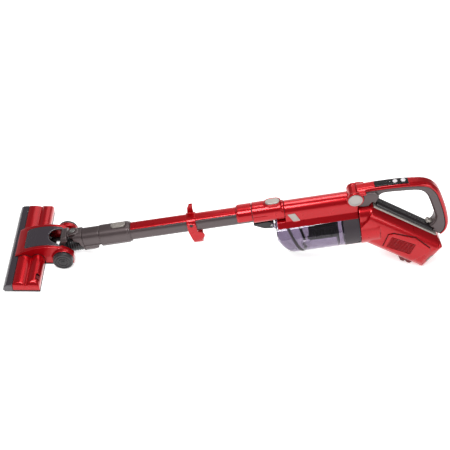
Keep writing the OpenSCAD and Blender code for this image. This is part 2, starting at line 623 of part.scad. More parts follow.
// The whole pod: its section, rounded at the rear both from the side and from above.
module pod_shape(t, d0) intersection() {
  run(d0, pod_len - t) pod_section(t);
  slab(-60, 60) union() {
    translate([0, pod_bot + low_r]) square([pod_len - t, pod_h - low_r - top_r]);
    translate([0, pod_bot + t]) square([pod_len - low_r, pod_h - top_r]);
    translate([0, pod_bot + low_r]) square([pod_len - top_r, pod_h - low_r - t]);
    translate([pod_len - low_r, pod_bot + low_r]) circle(low_r - t);
    translate([pod_len - top_r, pod_top - top_r]) circle(top_r - t);
  }
  translate([0, 0, -120]) linear_extrude(200) union() {
    square([2 * (pod_len - t), pod_w - 2 * side_r], center = true);
    square([2 * (pod_len - side_r), pod_w - 2 * t], center = true);
    for (s = [-1, 1]) translate([pod_len - side_r, s * (pod_w / 2 - side_r)]) circle(side_r - t);
  }
}
module pod_solid(t) intersection() {
  pod_shape(t, 50 + t);
  box(0, cap_d, -90, 90, -200, 90);
}
module at_slope() rotate([0, pod_slope, 0]) children();
module housing_solid(t) {
  at_slope() pod_solid(t);
  intersection() {
    xcyl(4.9, 50, 0, bin_z, bin_r + 1.2 - t);
    slab(-60, 60) polygon([[0, 0], [60, 0], [60, -84], [40 - t, -149 + t], [0, -155]]);
  }
  run(5, 38) translate([0, -60.2]) rrect(76 - 2 * t, 62 - 2 * t, 24 - t);
}
module housing_half() difference() {
  housing_solid(0);
  difference() {
    housing_solid(wall);
    at_slope() box(cap_d - 4, cap_d + 5, -60, 60, pod_bot - 5, pod_top + 5);
  }
  xcyl(0, 30, 0, bin_z, bin_r - 4);
  at_slope() box(cap_d - 5, cap_d + 1, -pod_w / 2 + 8, pod_w / 2 - 8, pod_bot + 8, pod_top - 16);
  at_slope() battery_solid(0.3);
  box(-50, 4.9, -80, 80, -200, 50);
  both() at_slope() slab(-pod_w / 2 - 2, -pod_w / 2 + 8) louvre_window();
  at_slope() translate([cap_d - 30, 0, pod_bot + 4]) rotate([180, 0, 0]) cylinder(h = 12, r = jack_r);
  at_slope() both() ycyl(92, -70, 1.5, -pod_w, pod_w);
}
jack_r = 5.6;
module louvre_window() polygon([[131, -36], [196, -29], [206, -70], [137, -66]]);
module motor_housing_near() color("FireBrick") at_stick() mirror([0, 1, 0]) intersection() {
  housing_half();
  box(-10, 400, 0.02, 90, -400, 60);
}
module motor_housing_far() color("FireBrick") at_stick() intersection() {
  housing_half();
  box(-10, 400, 0.02, 90, -400, 60);
}
module cap_shape(t) intersection() {
  pod_shape(t, cap_d);
  box(cap_d, pod_len + 5, -90, 90, -200, 90);
}
module rear_cap() color("FireBrick") at_pod() difference() {
  cap_shape(0);
  difference() {
    cap_shape(wall);
    box(cap_d - 1, cap_d + 0.6, -90, 90, -200, 90);
  }
  box(cap_d - 1, cap_d + 1, -pod_w / 2 + 8, pod_w / 2 - 8, pod_bot + 12, pod_top - 16);
  both() intersection() {
    slab(-pod_w / 2 - 1, -pod_w / 2 + 12) rear_inlay_outline(0.15);
    translate([0, 0, -120]) linear_extrude(80) translate([pod_len - side_r, side_r - pod_w / 2])
      difference() {
        circle(side_r + 1);
        circle(side_r - 1.75);
      }
  }
}
module rear_inlay_outline(g) offset(delta = g) polygon([[pod_len - 21, -44], [pod_len - 12, -45],
  [pod_len - 12, -65], [pod_len - 21, -64]]);
module side_inlays() color("LightGray") both() {
  at_stick() slab(-beam_r - 0.5, -beam_r + 1) inlay_outline(0);
  at_pod() intersection() {
    slab(-pod_w / 2 - 1, -pod_w / 2 + 12) rear_inlay_outline(0);
    translate([0, 0, -120]) linear_extrude(80) translate([pod_len - side_r, side_r - pod_w / 2])
      difference() {
        circle(side_r + 0.4);
        circle(side_r - 1.6);
      }
  }
}
module cover_outline(g) offset(delta = g) polygon([[119, -35], [128, -25.5], [186, -14], [236, -22],
  [243, -30], [223, -79], [186, -78], [131, -72]]);
module grille_cover() difference() {
  intersection() {
    slab(-pod_w / 2 - 6, -pod_w / 2 + 22) cover_outline(0);
    run(100, 260) difference() {
      pod_section(-3.4);
      pod_section(-0.05);
    }
  }
  intersection() {
    slab(-pod_w / 2 - 7, -pod_w / 2 + 10) for (i = [0 : louvres - 1])
      translate([0, i * -33 / louvres]) polygon([[129 + i * 0.8, -35.6], [197 + i, -28.6],
        [197.5 + i, -30.4], [129.4 + i * 0.8, -37.4]]);
    run(90, 270) square([200, 300], center = true);
  }
}
module grille_covers() color("FireBrick") at_pod() both() grille_cover();
module exhaust_filters() color("#222222") at_pod() both() intersection() {
  slab(-pod_w / 2 + 0.2, -pod_w / 2 + 2.2) offset(delta = -0.3) louvre_window();
  run(100, 260) pod_section(0.1);
}
module dock_foot() color("DarkRed") at_pod() difference() {
  slab(-30, 30) polygon([[200, pod_bot + 12], [200, pod_bot], [206, pod_bot - 4], [214, pod_bot - 9],
    [222, pod_bot - 8], [224, pod_bot - 4], [232, pod_bot - 7], [240, pod_bot - 6], [243, pod_bot],
    [243, pod_bot + 12]]);
  run(190, 250) pod_section(-0.1);
  translate([cap_d - 30, 0, pod_bot - 20]) cylinder(h = 30, r = jack_r - 1);
}
module fan_motor() color("Silver") at_pod() difference() {
  union() {
    xcyl(116, 176, 0, -48, motor_r);
    xcyl(120, 124, 0, -48, motor_r + 6);
    xcyl(176, 184, 0, -48, 9);
    box(118, 124, -17, 17, pod_bot + wall, -46);
  }
  xcyl(100, 190, 0, -48, 3 + run_fit);
}
module fan_impeller() color("Gainsboro") at_pod() difference() {
  union() {
    xcyl(98, 101, 0, -48, motor_r + 5);
    xcyl(98, 112, 0, -48, 8);
    xcyl(100, 172, 0, -48, 3);
    for (a = [0 : 40 : 320]) translate([0, 0, -48]) rotate([a, 0, 0]) box(100, 109, 5, motor_r + 4, -0.7, 0.7);
  }
  xcyl(97, 99, 0, -48, 3);
}
module charging_jack() color("#222222") at_pod() translate([cap_d - 30, 0, pod_bot]) difference() {
  translate([0, 0, 0.2]) cylinder(h = 15, r = jack_r);
  translate([0, 0, -1]) cylinder(h = 11, r = 2.75);
}
bat_d0 = 58;
bat_d1 = 226;
bat_top = pod_top + battery_rise;
module battery_solid(g) union() {
  run(bat_d0 - g, bat_d1 + g) translate([0, (bat_top - 12) / 2]) rrect(battery_w + 2 * g, bat_top + 12 + 2 * g, 11);
}
module battery_pack() color("#2b2226") at_pod() difference() {
  battery_solid(0);
  for (i = [0 : 17]) box(bat_d0 + 16 + i * 8, bat_d0 + 17.2 + i * 8, -30, 30, bat_top - 0.7, bat_top + 2);
}
trim_w = 44;
module housing_trim() color("Silver") at_pod() difference() {
  run(52, cap_d - 18) translate([0, pod_top]) rrect(trim_w, 6.4, 3);
  run(50, cap_d) pod_section(-0.12);
  run(bat_d0 - slide_gap, bat_d1 + slide_gap) translate([-battery_w / 2 - slide_gap, -10])
    square([battery_w + 2 * slide_gap, 60]);
}

// ---------- Dust bin ----------
slant = -22;
seal_t = 5.5;
lid_x = -150;
lid_axis = [lid_x - bin_r * tan(slant) + 1, bin_z - bin_r - 4.7];
module lid_side(g) translate([lid_x, 0, bin_z]) rotate([0, slant, 0]) box(-120, -g, -90, 90, -140, 140);
module dust_bin() color("Thistle", 0.5) at_stick() difference() {
  union() {
    difference() {
      xcyl(-200, -33, 0, bin_z, bin_r);
      lid_side(-seal_t - 0.5);
    }
    both() ycyl(lid_axis[0], lid_axis[1], 4.4, 4.4, 9);
    both() box(lid_axis[0], lid_axis[0] + 12, 4.4, 9, lid_axis[1], lid_axis[1] + 6);
  }
  xcyl(-201, -32, 0, bin_z, bin_r - bin_wall);
  both() ycyl(lid_axis[0], lid_axis[1], 2, 0, 20);
}
lid_front = nose_x + 49.5;
module lid_shape(t) intersection() {
  xcyl(-240, -130, 0, bin_z, bin_r - t);
  union() {
    translate([-127, 0, -67 - (bin_r - 50)]) sphere(75.5 - t);
    translate([lid_x, 0, bin_z]) rotate([0, slant, 0]) box(-5 + t, 0, -90, 90, -90, 90);
  }
  box(lid_front + t, 0, -80, 80, -200, 0);
}
module bin_lid() color("Thistle", 0.5) at_stick() difference() {
  union() {
    intersection() {
      lid_shape(0);
      lid_side(0);
    }
    both() slab(12.6, 15.6) polygon([[lid_front + 1, -66], [lid_front - 4, -60], [lid_front - 13, -52],
      [lid_front - 13, -45], [lid_front - 6, -43.6], [lid_front + 2, -48]]);
    ycyl(lid_axis[0], lid_axis[1], 4.4, -4, 4);
    slab(-4, 4) polygon([[lid_axis[0] - 4.2, bin_z - bin_r + 1.4], [lid_axis[0] - 1.6, bin_z - bin_r - 0.3],
      [lid_axis[0], lid_axis[1] + 2], [lid_axis[0], lid_axis[1] - 4.3], [lid_axis[0] - 5.4, bin_z - bin_r - 3]]);
  }
  intersection() {
    lid_shape(bin_wall);
    lid_side(-1);
  }
  ycyl(lid_axis[0], lid_axis[1], 2 + run_fit, -20, 20);
  both() ycyl(lid_pin[0], lid_pin[1], 2, 5, 30);
}
module bin_seal() color("#3a2f3a") at_stick() intersection() {
  difference() {
    xcyl(-220, -100, 0, bin_z, bin_r + 0.3);
    xcyl(-221, -99, 0, bin_z, bin_r - 4);
  }
  translate([lid_x, 0, bin_z]) rotate([0, slant, 0]) difference() {
    box(0.1, seal_t, -90, 90, -90, 90);
    box(-1, seal_t + 1, -12, 12, -90, -46);
  }
}
lid_pin = [lid_front - 9, -48.5];
module lid_latch_lever() color("#1c1c1c") at_stick() difference() {
  union() {
    slab(-12, 12) polygon([[nose_x - 2, -42], [nose_x - 2, -45], [nose_x + 12, -54], [nose_x + 22, -59.5],
      [lid_front - 9, -62], [lid_front - 4, -60], [lid_front - 3.6, -44], [lid_front - 12, -41],
      [lid_front - 26, -40.2]]);
    for (i = [0 : 5]) translate([nose_x + 1 + i * 4, 0, -47 - i * 2.3]) rotate([0, 32, 0]) box(-1, 1, -11, 11, -1.6, 2);
  }
  ycyl(lid_pin[0], lid_pin[1], 2 + run_fit, -20, 20);
}
module lid_latch_pin() color("Silver") at_stick() ycyl(lid_pin[0], lid_pin[1], 2, -15.6, 15.6);
module lid_hinge_pin() color("Silver") at_stick() ycyl(lid_axis[0], lid_axis[1], 2, -9, 9);
shroud_x0 = -116;
module cyclone_shroud() color("#1c1c1c") at_stick() difference() {
  union() {
    run(shroud_x0, -46) translate([0, bin_z + 6]) rrect(56, 44, 9);
    xcyl(-50, -46, 0, bin_z, bin_r - bin_wall - 0.2);
    xcyl(shroud_x0 - 5, shroud_x0 + 1, -16, bin_z - 12, 4);
  }
  run(shroud_x0 + 2.5, -40) translate([0, bin_z + 6]) rrect(51, 39, 7);
  both() for (i = [0 : 6]) box(shroud_x0 + 8 + i * 8, shroud_x0 + 13 + i * 8, 20, 40, bin_z - 8, bin_z + 20);
}
module bin_collar() color("#3e3442") at_stick() difference() {
  xcyl(-33, 3.9, 0, bin_z, bin_r);
  xcyl(-34, -30, 0, bin_z, bin_r - 7);
  xcyl(-30.1, 8, 0, bin_z, bin_r - 3);
  ycyl(0, bin_z - 22, 2.6, -80, 0);
}
module pre_motor_filter() color("Ivory") at_stick() difference() {
  xcyl(-28, 2.8, 0, bin_z, bin_r - 3.4);
  for (a = [0 : 15 : 345]) translate([0, 0, bin_z]) rotate([a, 0, 0]) box(-30, 4, bin_r - 7.5, bin_r, -1.2, 1.2);
  xcyl(-22, 4, 0, bin_z, 20);
}

// ---------- Handle ----------
function shrink(p, t) = [for (i = [0 : len(p) - 1]) let (a = p[max(i - 1, 0)], b = p[min(i + 1, len(p) - 1)],
  d = (b - a) / norm(b - a)) p[i] + t * [d[1], -d[0]]];
function rev(p) = [for (i = [len(p) - 1 : -1 : 0]) p[i]];
inner_line = smooth(inner_pts, 4);

module cover_band(a, b) polygon(concat(shrink(outer_line, a), rev(shrink(outer_line, b))));
module loop_outline(a, b) polygon(concat([[17, -27 + b]], shrink(outer_line, a), rev(shrink(inner_line, -b))));
hw = handle_w / 2;
module loop_trim() {
  ycyl(0, 0, barrel_r + 0.5, -17.5, 14.1);
  box(-30, 6, -60, 60, -60, 60);
  at_slope() box(60, cap_d + 20, -60, 60, -60, pod_top + 3.7);
  at_slope() box(40, bat_d1 + 3, -60, 60, -60, bat_top + 1);
}
// The two ears of the red cover that hold the hinge pin.
module ear_room() {
  box(-30, 16.7, -25.1, -17.5, -21, 21);
  box(-30, 16.7, 14.1, 22.1, -21, 21);
  box(6.1, 16.7, -25.1, 22.1, 14.6, 21);
}
module handle_outer_cover() color("FireBrick") at_stick() difference() {
  union() {
    slab(-hw + 6, hw - 6) cover_band(0, cover_t);
    slab(-hw + 2, hw - 2) cover_band(2, cover_t);
    slab(-hw, hw) cover_band(4.6, cover_t);
    ycyl(0, 0, 20, -25, -17.6);
    ycyl(0, 0, barrel_r, 14.2, 22);
    box(6.2, 26, -24.8, -14.5, 10.2, 17.4);
    box(6.2, 26, 14.5, 21.8, 10.2, 14.4);
    box(6.2, 16.6, -24.8, 21.8, 14.7, 16);
  }
  difference() {
    loop_trim();
    ear_room();
  }
  difference() {
    box(-30, 16.6, -60, 60, -60, 60);
    ear_room();
  }
  ycyl(0, 0, cap_r + 0.2, -60, -23.6);
  ycyl(0, 0, hinge_pin_r, -40, 40);
  slab(-9.6, 9.6) panel_outline(-1.2, 0.3);
  for (x = button_xs) translate([x, 0, 5]) cylinder(h = 30, r = button_r + 0.3);
}
panel_x0 = 49;
panel_x1 = 125;
button_xs = [95.7, 114.3];
module panel_outline(a, g) intersection() {
  cover_band(a, 1.6);
  translate([panel_x0 - g, 0]) square([panel_x1 - panel_x0 + 2 * g, 60]);
}
module control_panel() color("#181818") at_stick() difference() {
  slab(-9.2, 9.2) panel_outline(-0.6, 0);
  for (x = button_xs) translate([x, 0, 5]) cylinder(h = 30, r = button_r + 0.3);
}
module press_button(x) translate([x, 0, 14.6]) {
  cylinder(h = 6.6, r = button_r);
  cylinder(h = 7.4, r = button_r - 1.2);
}
module handle_inner_shell() color("Gray") at_stick() difference() {
  union() {
    slab(-hw + 0.6, hw - 0.6) loop_outline(cover_t + 0.1, 3);
    slab(-hw + 4, hw - 4) loop_outline(cover_t + 0.1, 0);
    slab(-21, 21) polygon([[6, -24], [6, 10], [50, 9.5], [56, -4], [42, -27], [18, -27]]);
  }
  loop_trim();
  ycyl(0, 0, 20.2, -30, -17.2);
  ycyl(0, 0, barrel_r + 0.2, 14, 30);
  for (x = button_xs) translate([x, 0, 3]) cylinder(h = 30, r = button_r + 0.3);
  at_slope() catch_slot();
}
module handle_hinge() color("Silver") at_stick() {
  ycyl(0, 0, hinge_pin_r, -23.7, 21);
  difference() {
    ycyl(0, 0, cap_r, -26.4, -23.7);
    ycyl(0, 0, cap_r - 3.6, -27, -25.2);
  }
}
module power_button() color("White") at_stick() press_button(button_xs[1]);
module mode_button() color("White") at_stick() press_button(button_xs[0]);
// The catch that holds the handle down on the housing slides in a slot in the foot of the loop.
catch_d = [203, 225];
catch_n = [pod_top + 15, pod_top + 21];
catch_travel = 3;
module catch_slot() box(catch_d[0] - 2, catch_d[1] + catch_travel + slide_gap, -6 - slide_gap,
  6 + slide_gap, catch_n[0] - slide_gap, catch_n[1] + slide_gap);
module handle_catch() color("LightGray") at_pod() {
  box(catch_d[0], catch_d[1], -6, 6, catch_n[0], catch_n[1]);
  slab(-5, 5) polygon([[catch_d[0], catch_n[0] + 1], [catch_d[0] + 7, catch_n[0] + 1],
    [catch_d[0] + 7, bat_top + 1.6], [catch_d[0] + 4, bat_top + 1.6], [catch_d[0], bat_top + 3]]);
}

head_top_shell();
head_arch_cover();
head_top_plate();
head_sole();
front_bumper();
bumper_lens();
brush_roll();
brush_bristles();
brush_bearings();
brush_motor();
motor_pulley();
brush_pulley();
drive_belt();
brush_release_slide();
rear_wheel_near();
rear_wheel_far();
head_axle_pins();
sole_screws();
neck_cradle();
swing_pin();
neck_knuckle();
neck_hose();
neck_tube();
wand_socket();
head_release_button();
wand_tube();
wand_cover();
accessory_clip();
clip_screw();
nose_collar();
upper_beam();
side_inlays();
wand_release_button();
motor_housing_near();
motor_housing_far();
rear_cap();
grille_covers();
exhaust_filters();
dock_foot();
fan_motor();
fan_impeller();
charging_jack();
battery_pack();
housing_trim();
dust_bin();
bin_lid();
bin_seal();
lid_latch_lever();
lid_hinge_pin();
lid_latch_pin();
cyclone_shroud();
bin_collar();
pre_motor_filter();
handle_outer_cover();
handle_inner_shell();
control_panel();
power_button();
mode_button();
handle_catch();
handle_hinge();
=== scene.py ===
"""Studio scene of a cordless stick vacuum that lies on a pale floor.

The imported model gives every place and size. Each sub-assembly is a class that rounds, re-makes and
dresses its own pieces, and main() builds them in order.
"""

import json
import logging
import math
from dataclasses import dataclass, field
from enum import Enum
from typing import Iterable, Optional, Sequence, Union

import bmesh
import bpy
from mathutils import Matrix, Vector
from mathutils.bvhtree import BVHTree

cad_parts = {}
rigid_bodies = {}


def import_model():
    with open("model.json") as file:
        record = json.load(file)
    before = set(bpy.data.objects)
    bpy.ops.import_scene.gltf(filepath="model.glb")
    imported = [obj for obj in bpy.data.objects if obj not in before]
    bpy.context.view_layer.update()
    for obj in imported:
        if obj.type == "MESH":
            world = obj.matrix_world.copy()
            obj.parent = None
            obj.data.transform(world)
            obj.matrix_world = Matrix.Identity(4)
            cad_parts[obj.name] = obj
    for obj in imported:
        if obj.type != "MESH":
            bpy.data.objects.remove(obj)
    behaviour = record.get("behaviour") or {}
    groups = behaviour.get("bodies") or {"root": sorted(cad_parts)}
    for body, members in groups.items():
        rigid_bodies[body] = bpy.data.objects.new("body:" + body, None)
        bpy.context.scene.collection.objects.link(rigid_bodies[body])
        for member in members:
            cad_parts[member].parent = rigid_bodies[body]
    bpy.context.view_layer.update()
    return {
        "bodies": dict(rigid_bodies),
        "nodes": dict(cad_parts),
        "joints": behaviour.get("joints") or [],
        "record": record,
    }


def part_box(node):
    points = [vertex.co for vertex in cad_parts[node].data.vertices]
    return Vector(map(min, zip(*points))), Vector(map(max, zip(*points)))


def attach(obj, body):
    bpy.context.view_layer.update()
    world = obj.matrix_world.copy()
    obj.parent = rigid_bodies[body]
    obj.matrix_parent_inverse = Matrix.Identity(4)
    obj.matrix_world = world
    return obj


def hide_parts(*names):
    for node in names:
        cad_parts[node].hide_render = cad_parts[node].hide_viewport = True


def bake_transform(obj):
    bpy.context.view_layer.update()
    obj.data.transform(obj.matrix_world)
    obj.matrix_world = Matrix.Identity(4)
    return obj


LOG = logging.getLogger("stick_vacuum")
MM = 0.001
WELD_MM = 0.01
FLAT_DEGREES = 0.6
SHARP_DEGREES = 28.0
JOINT_MM = 1.1
RIM_MM = 4.4
RIM_TOP_MM = 10.0
ACROSS = Vector((0.0, 1.0, 0.0))

Value = Union[float, int, bool, str, Sequence[float], bpy.types.NodeSocket]


class Finish(Enum):
    """The names of the finishes that the pieces wear."""

    RED_LACQUER = "red_lacquer"
    DARK_RED_ABS = "dark_red_abs"
    WARM_GREY_PAINT = "warm_grey_paint"
    BLACK_ABS = "black_abs"
    GLOSS_BLACK = "gloss_black_acrylic"
    CHAMPAGNE = "champagne_paint"
    CLEAR_BIN = "smoke_polycarbonate"
    SEAL_RUBBER = "seal_rubber"
    TYRE_RUBBER = "wheel_rubber"
    HOSE_VINYL = "hose_vinyl"
    TURNED_STEEL = "turned_steel"
    SATIN_SILVER = "satin_anodised_aluminium"
    BRASS = "turned_brass"
    NYLON = "nylon_bristle"
    PAPER = "pleated_filter_paper"
    FOAM = "open_cell_foam"
    BUTTON_WHITE = "button_white_abs"
    CLEAR_STRIP = "frosted_strip"
    STUDIO_FLOOR = "studio_floor"
    LED = "led_window"
    DARK_GLOSS = "plum_gloss_paint"
    BLACK_SATIN = "black_satin_abs"
    JOINT_SHADOW = "joint_shadow"


# ---------------------------------------------------------------- materials


def linear(hex_code: str) -> tuple[float, float, float, float]:
    """Turns an sRGB hex colour into Blender's linear colour.

    Args:
        hex_code: The colour as six hex digits, such as "C00A1E".

    Returns:
        The linear red, green, blue and an alpha of 1.
    """
    parts = [int(hex_code[i : i + 2], 16) / 255 for i in (0, 2, 4)]
    low = [c / 12.92 if c <= 0.04045 else ((c + 0.055) / 1.055) ** 2.4 for c in parts]
    return (low[0], low[1], low[2], 1.0)


def add_node(tree: bpy.types.NodeTree, kind: str, settings: Optional[dict[str, object]] = None,
             inputs: Optional[dict[Union[str, int], Value]] = None) -> bpy.types.Node:
    """Adds one node with its settings, and sets or links its inputs.

    Args:
        tree: The shader or geometry tree.
        kind: The node's Blender type name.
        settings: Attributes to set on the node.
        inputs: Values or sockets, keyed by the input's name or index.

    Returns:
        The new node.
    """
    node = tree.nodes.new(kind)
    for key, value in (settings or {}).items():
        setattr(node, key, value)
    for key, value in (inputs or {}).items():
        if isinstance(value, bpy.types.NodeSocket):
            tree.links.new(value, node.inputs[key])
        else:
            node.inputs[key].default_value = value
    return node


@dataclass(frozen=True)
class Coating:
    """What a surface gives the eye: colour, gloss and the fine texture of how it was made.

    A texture size is in millimetres. A size of 0 leaves that texture out.
    """

    colour: str
    second: str
    roughness: float
    metallic: float = 0.0
    coat: float = 0.0
    ior: float = 1.5
    mottle_mm: float = 25.0
    mottle: float = 0.25
    grain_mm: float = 0.0
    grain_depth_mm: float = 0.0
    rough_spread: float = 0.06
    transmission: float = 0.0
    sheen: float = 0.0
    ring_axis: Optional[str] = None
    glow: float = 0.0

    def build(self, name: str) -> bpy.types.Material:
        """Builds the node material.

        Args:
            name: The material's name.

        Returns:
            The material, ready to assign.
        """
        material = bpy.data.materials.new(name)
        material.use_nodes = True
        tree = material.node_tree
        tree.nodes.clear()
        place = add_node(tree, "ShaderNodeTexCoord").outputs["Object"]
        shader = add_node(tree, "ShaderNodeBsdfPrincipled", None, {
            "Metallic": self.metallic, "IOR": self.ior, "Coat Weight": self.coat,
            "Coat Roughness": 0.06, "Transmission Weight": self.transmission,
            "Sheen Weight": self.sheen, "Emission Strength": self.glow,
            "Emission Color": linear(self.colour)})
        self._colour(tree, place, shader)
        self._roughness(tree, place, shader)
        self._bump(tree, place, shader)
        out = add_node(tree, "ShaderNodeOutputMaterial")
        tree.links.new(shader.outputs["BSDF"], out.inputs["Surface"])
        return material

    def _colour(self, tree: bpy.types.NodeTree, place: bpy.types.NodeSocket,
                shader: bpy.types.Node) -> None:
        """Mixes the two colours over a soft mottle."""
        mottle = add_node(tree, "ShaderNodeTexNoise", None, {
            "Vector": place, "Scale": 1.0 / (self.mottle_mm * MM), "Detail": 3.0,
            "Roughness": 0.55})
        factor = add_node(tree, "ShaderNodeMapRange", None, {
            "Value": mottle.outputs["Fac"], "From Min": 0.35, "From Max": 0.65,
            "To Min": 0.0, "To Max": self.mottle})
        mix = add_node(tree, "ShaderNodeMix", {"data_type": "RGBA"}, {
            "Factor": factor.outputs["Result"]})
        mix.inputs[6].default_value = linear(self.colour)
        mix.inputs[7].default_value = linear(self.second)
        tree.links.new(mix.outputs[2], shader.inputs["Base Color"])

    def _roughness(self, tree: bpy.types.NodeTree, place: bpy.types.NodeSocket,
                   shader: bpy.types.Node) -> None:
        """Varies the gloss a little, as handling and moulding do."""
        cloud = add_node(tree, "ShaderNodeTexNoise", None, {
            "Vector": place, "Scale": 60.0, "Detail": 4.0})
        spread = add_node(tree, "ShaderNodeMapRange", None, {
            "Value": cloud.outputs["Fac"], "From Min": 0.3, "From Max": 0.7,
            "To Min": self.roughness, "To Max": self.roughness + self.rough_spread})
        tree.links.new(spread.outputs["Result"], shader.inputs["Roughness"])

    def _bump(self, tree: bpy.types.NodeTree, place: bpy.types.NodeSocket,
              shader: bpy.types.Node) -> None:
        """Adds the fine relief: moulded grain, or turning marks along one axis."""
        if not self.grain_mm:
            return
        if self.ring_axis:
            relief = add_node(tree, "ShaderNodeTexWave", {
                "wave_type": "BANDS", "bands_direction": self.ring_axis}, {
                "Vector": place, "Scale": 0.5 / (self.grain_mm * MM), "Distortion": 0.6})
        else:
            relief = add_node(tree, "ShaderNodeTexNoise", None, {
                "Vector": place, "Scale": 1.0 / (self.grain_mm * MM), "Detail": 2.0})
        bump = add_node(tree, "ShaderNodeBump", None, {
            "Height": relief.outputs["Fac"], "Distance": self.grain_depth_mm * MM,
            "Strength": 0.6})
        tree.links.new(bump.outputs["Normal"], shader.inputs["Normal"])


# Each coating starts from the real one. The comment says what it gives the eye.
COATINGS: dict[Finish, Coating] = {
    # Moulded ABS, sprayed with red metallic lacquer and clear coat: deep red, pink highlights.
    Finish.RED_LACQUER: Coating("B00010", "96000C", 0.27, metallic=0.55, coat=0.4, ior=1.35,
                                mottle_mm=90, mottle=0.25, rough_spread=0.03),
    # ABS moulded in dark red: a flat, waxy shade beside the lacquer.
    Finish.DARK_RED_ABS: Coating("6E0912", "520208", 0.42, grain_mm=0.6, grain_depth_mm=0.02),
    # ABS with warm grey metallic paint: satin, brownish, with a soft sheen on edges.
    Finish.WARM_GREY_PAINT: Coating("524647", "463C3D", 0.36, metallic=0.45, coat=0.2,
                                    mottle_mm=60, grain_mm=0.5, grain_depth_mm=0.01),
    # Spark-eroded black ABS: matt with fine grain, drawn coarser than the real 0.1 mm to show.
    Finish.BLACK_ABS: Coating("100E11", "181518", 0.4, grain_mm=0.5, grain_depth_mm=0.03),
    # Polished black acrylic: a mirror-black window.
    Finish.GLOSS_BLACK: Coating("080709", "141216", 0.1, coat=1.0, rough_spread=0.03),
    # Champagne metallic paint on small trim: pale, silky.
    Finish.CHAMPAGNE: Coating("A59E98", "948D87", 0.34, metallic=0.6, coat=0.2),
    # Dark plum-grey gloss paint on the head's plate and bumper: deep, with clear reflections.
    Finish.DARK_GLOSS: Coating("403840", "342D34", 0.16, metallic=0.3, coat=0.8, mottle_mm=80),
    # Black satin ABS of the battery: dark, with a wide soft highlight.
    Finish.BLACK_SATIN: Coating("1B1619", "241D21", 0.3, coat=0.3, grain_mm=0.4,
                                grain_depth_mm=0.01),
    # The dark of a joint between two mouldings: no shine at all.
    Finish.JOINT_SHADOW: Coating("060506", "080607", 0.8, rough_spread=0.02),
    # Clear polycarbonate with a smoke tint, injection moulded: glassy, purple-grey.
    Finish.CLEAR_BIN: Coating("B2A8BA", "A79DB0", 0.02, ior=1.45, transmission=1.0,
                              rough_spread=0.02, mottle=0.2),
    # Moulded rubber seal: dull plum-black.
    Finish.SEAL_RUBBER: Coating("2E242C", "241C22", 0.6, grain_mm=0.8, grain_depth_mm=0.03,
                                sheen=0.1),
    # Hard wheel rubber: dark, dull, a little dusty.
    Finish.TYRE_RUBBER: Coating("1B161A", "282226", 0.45, grain_mm=0.7, grain_depth_mm=0.04,
                                mottle_mm=9, mottle=0.5, sheen=0.15),
    # Extruded soft vinyl over a wire coil: black with a soft gloss on each rib.
    Finish.HOSE_VINYL: Coating("1B181B", "2A2629", 0.32, grain_mm=0.6, grain_depth_mm=0.02,
                               coat=0.2),
    # Steel turned on a lathe: bright, with marks round the axis.
    Finish.TURNED_STEEL: Coating("B9B8B6", "9F9E9C", 0.28, metallic=1.0, grain_mm=0.5,
                                 grain_depth_mm=0.01, ring_axis="Y"),
    # Aluminium, bead blasted and clear anodised: even, pale satin.
    Finish.SATIN_SILVER: Coating("A9A4A1", "989390", 0.42, metallic=0.9, grain_mm=0.4,
                                 grain_depth_mm=0.008),
    # Turned brass: warm yellow metal.
    Finish.BRASS: Coating("C9A14A", "B48A38", 0.3, metallic=1.0, grain_mm=0.4,
                          grain_depth_mm=0.01, ring_axis="Y"),
    # Nylon filament: black, each strand with a thin gloss.
    Finish.NYLON: Coating("1A171A", "2C2629", 0.4, sheen=0.2),
    # Pleated filter paper: soft white, fibrous.
    Finish.PAPER: Coating("E6E2D8", "D5D0C4", 0.9, grain_mm=1.2, grain_depth_mm=0.05, sheen=0.3),
    # Open-cell foam: dull black sponge.
    Finish.FOAM: Coating("1A1719", "2B272A", 0.95, grain_mm=1.5, grain_depth_mm=0.2),
    # White ABS key tops: clean satin.
    Finish.BUTTON_WHITE: Coating("DAD6D8", "C6C2C6", 0.3, coat=0.3),
    # Frosted polycarbonate strip: cloudy pale grey.
    Finish.CLEAR_STRIP: Coating("C9C5C4", "B7B2B2", 0.3, ior=1.58, transmission=0.25),
    # Opal acrylic light table: even white, lit from below.
    Finish.STUDIO_FLOOR: Coating("FFFFFF", "FBFBFB", 0.6, mottle_mm=400, glow=0.6),
    # A small lamp window, unlit: pale, hard.
    Finish.LED: Coating("B9B7BF", "A7A5AD", 0.2, coat=0.5),
}


class Paintbox:
    """Makes each finish once and hands it out."""

    def __init__(self) -> None:
        """Starts with no material made."""
        self._made: dict[Finish, bpy.types.Material] = {}

    def get(self, finish: Finish) -> bpy.types.Material:
        """Returns the material of a finish, building it on first use."""
        if finish not in self._made:
            self._made[finish] = COATINGS[finish].build(finish.value)
        return self._made[finish]


# ---------------------------------------------------------------- shapes


@dataclass(frozen=True)
class LocalFrame:
    """A place on the object with its own directions: along, across (+Y) and up, in millimetres."""

    origin: Vector
    along: Vector

    @property
    def up(self) -> Vector:
        """The direction square to along, in the middle plane."""
        return self.along.cross(ACROSS)

    def at(self, x: float, y: float, z: float) -> Vector:
        """Turns local millimetres into a point in the row frame, in metres."""
        return self.origin + MM * (x * self.along + y * ACROSS + z * self.up)

    def matrix(self, x: float = 0.0, y: float = 0.0, z: float = 0.0) -> Matrix:
        """A matrix whose X, Y, Z are along, across and up, at a local point."""
        turned = Matrix((self.along, ACROSS, self.up)).transposed().to_4x4()
        return Matrix.Translation(self.at(x, y, z)) @ turned


def new_object(name: str, mesh: bpy.types.Mesh) -> bpy.types.Object:
    """Links a mesh into the scene as an object at the origin."""
    piece = bpy.data.objects.new(name, mesh)
    bpy.context.scene.collection.objects.link(piece)
    return piece


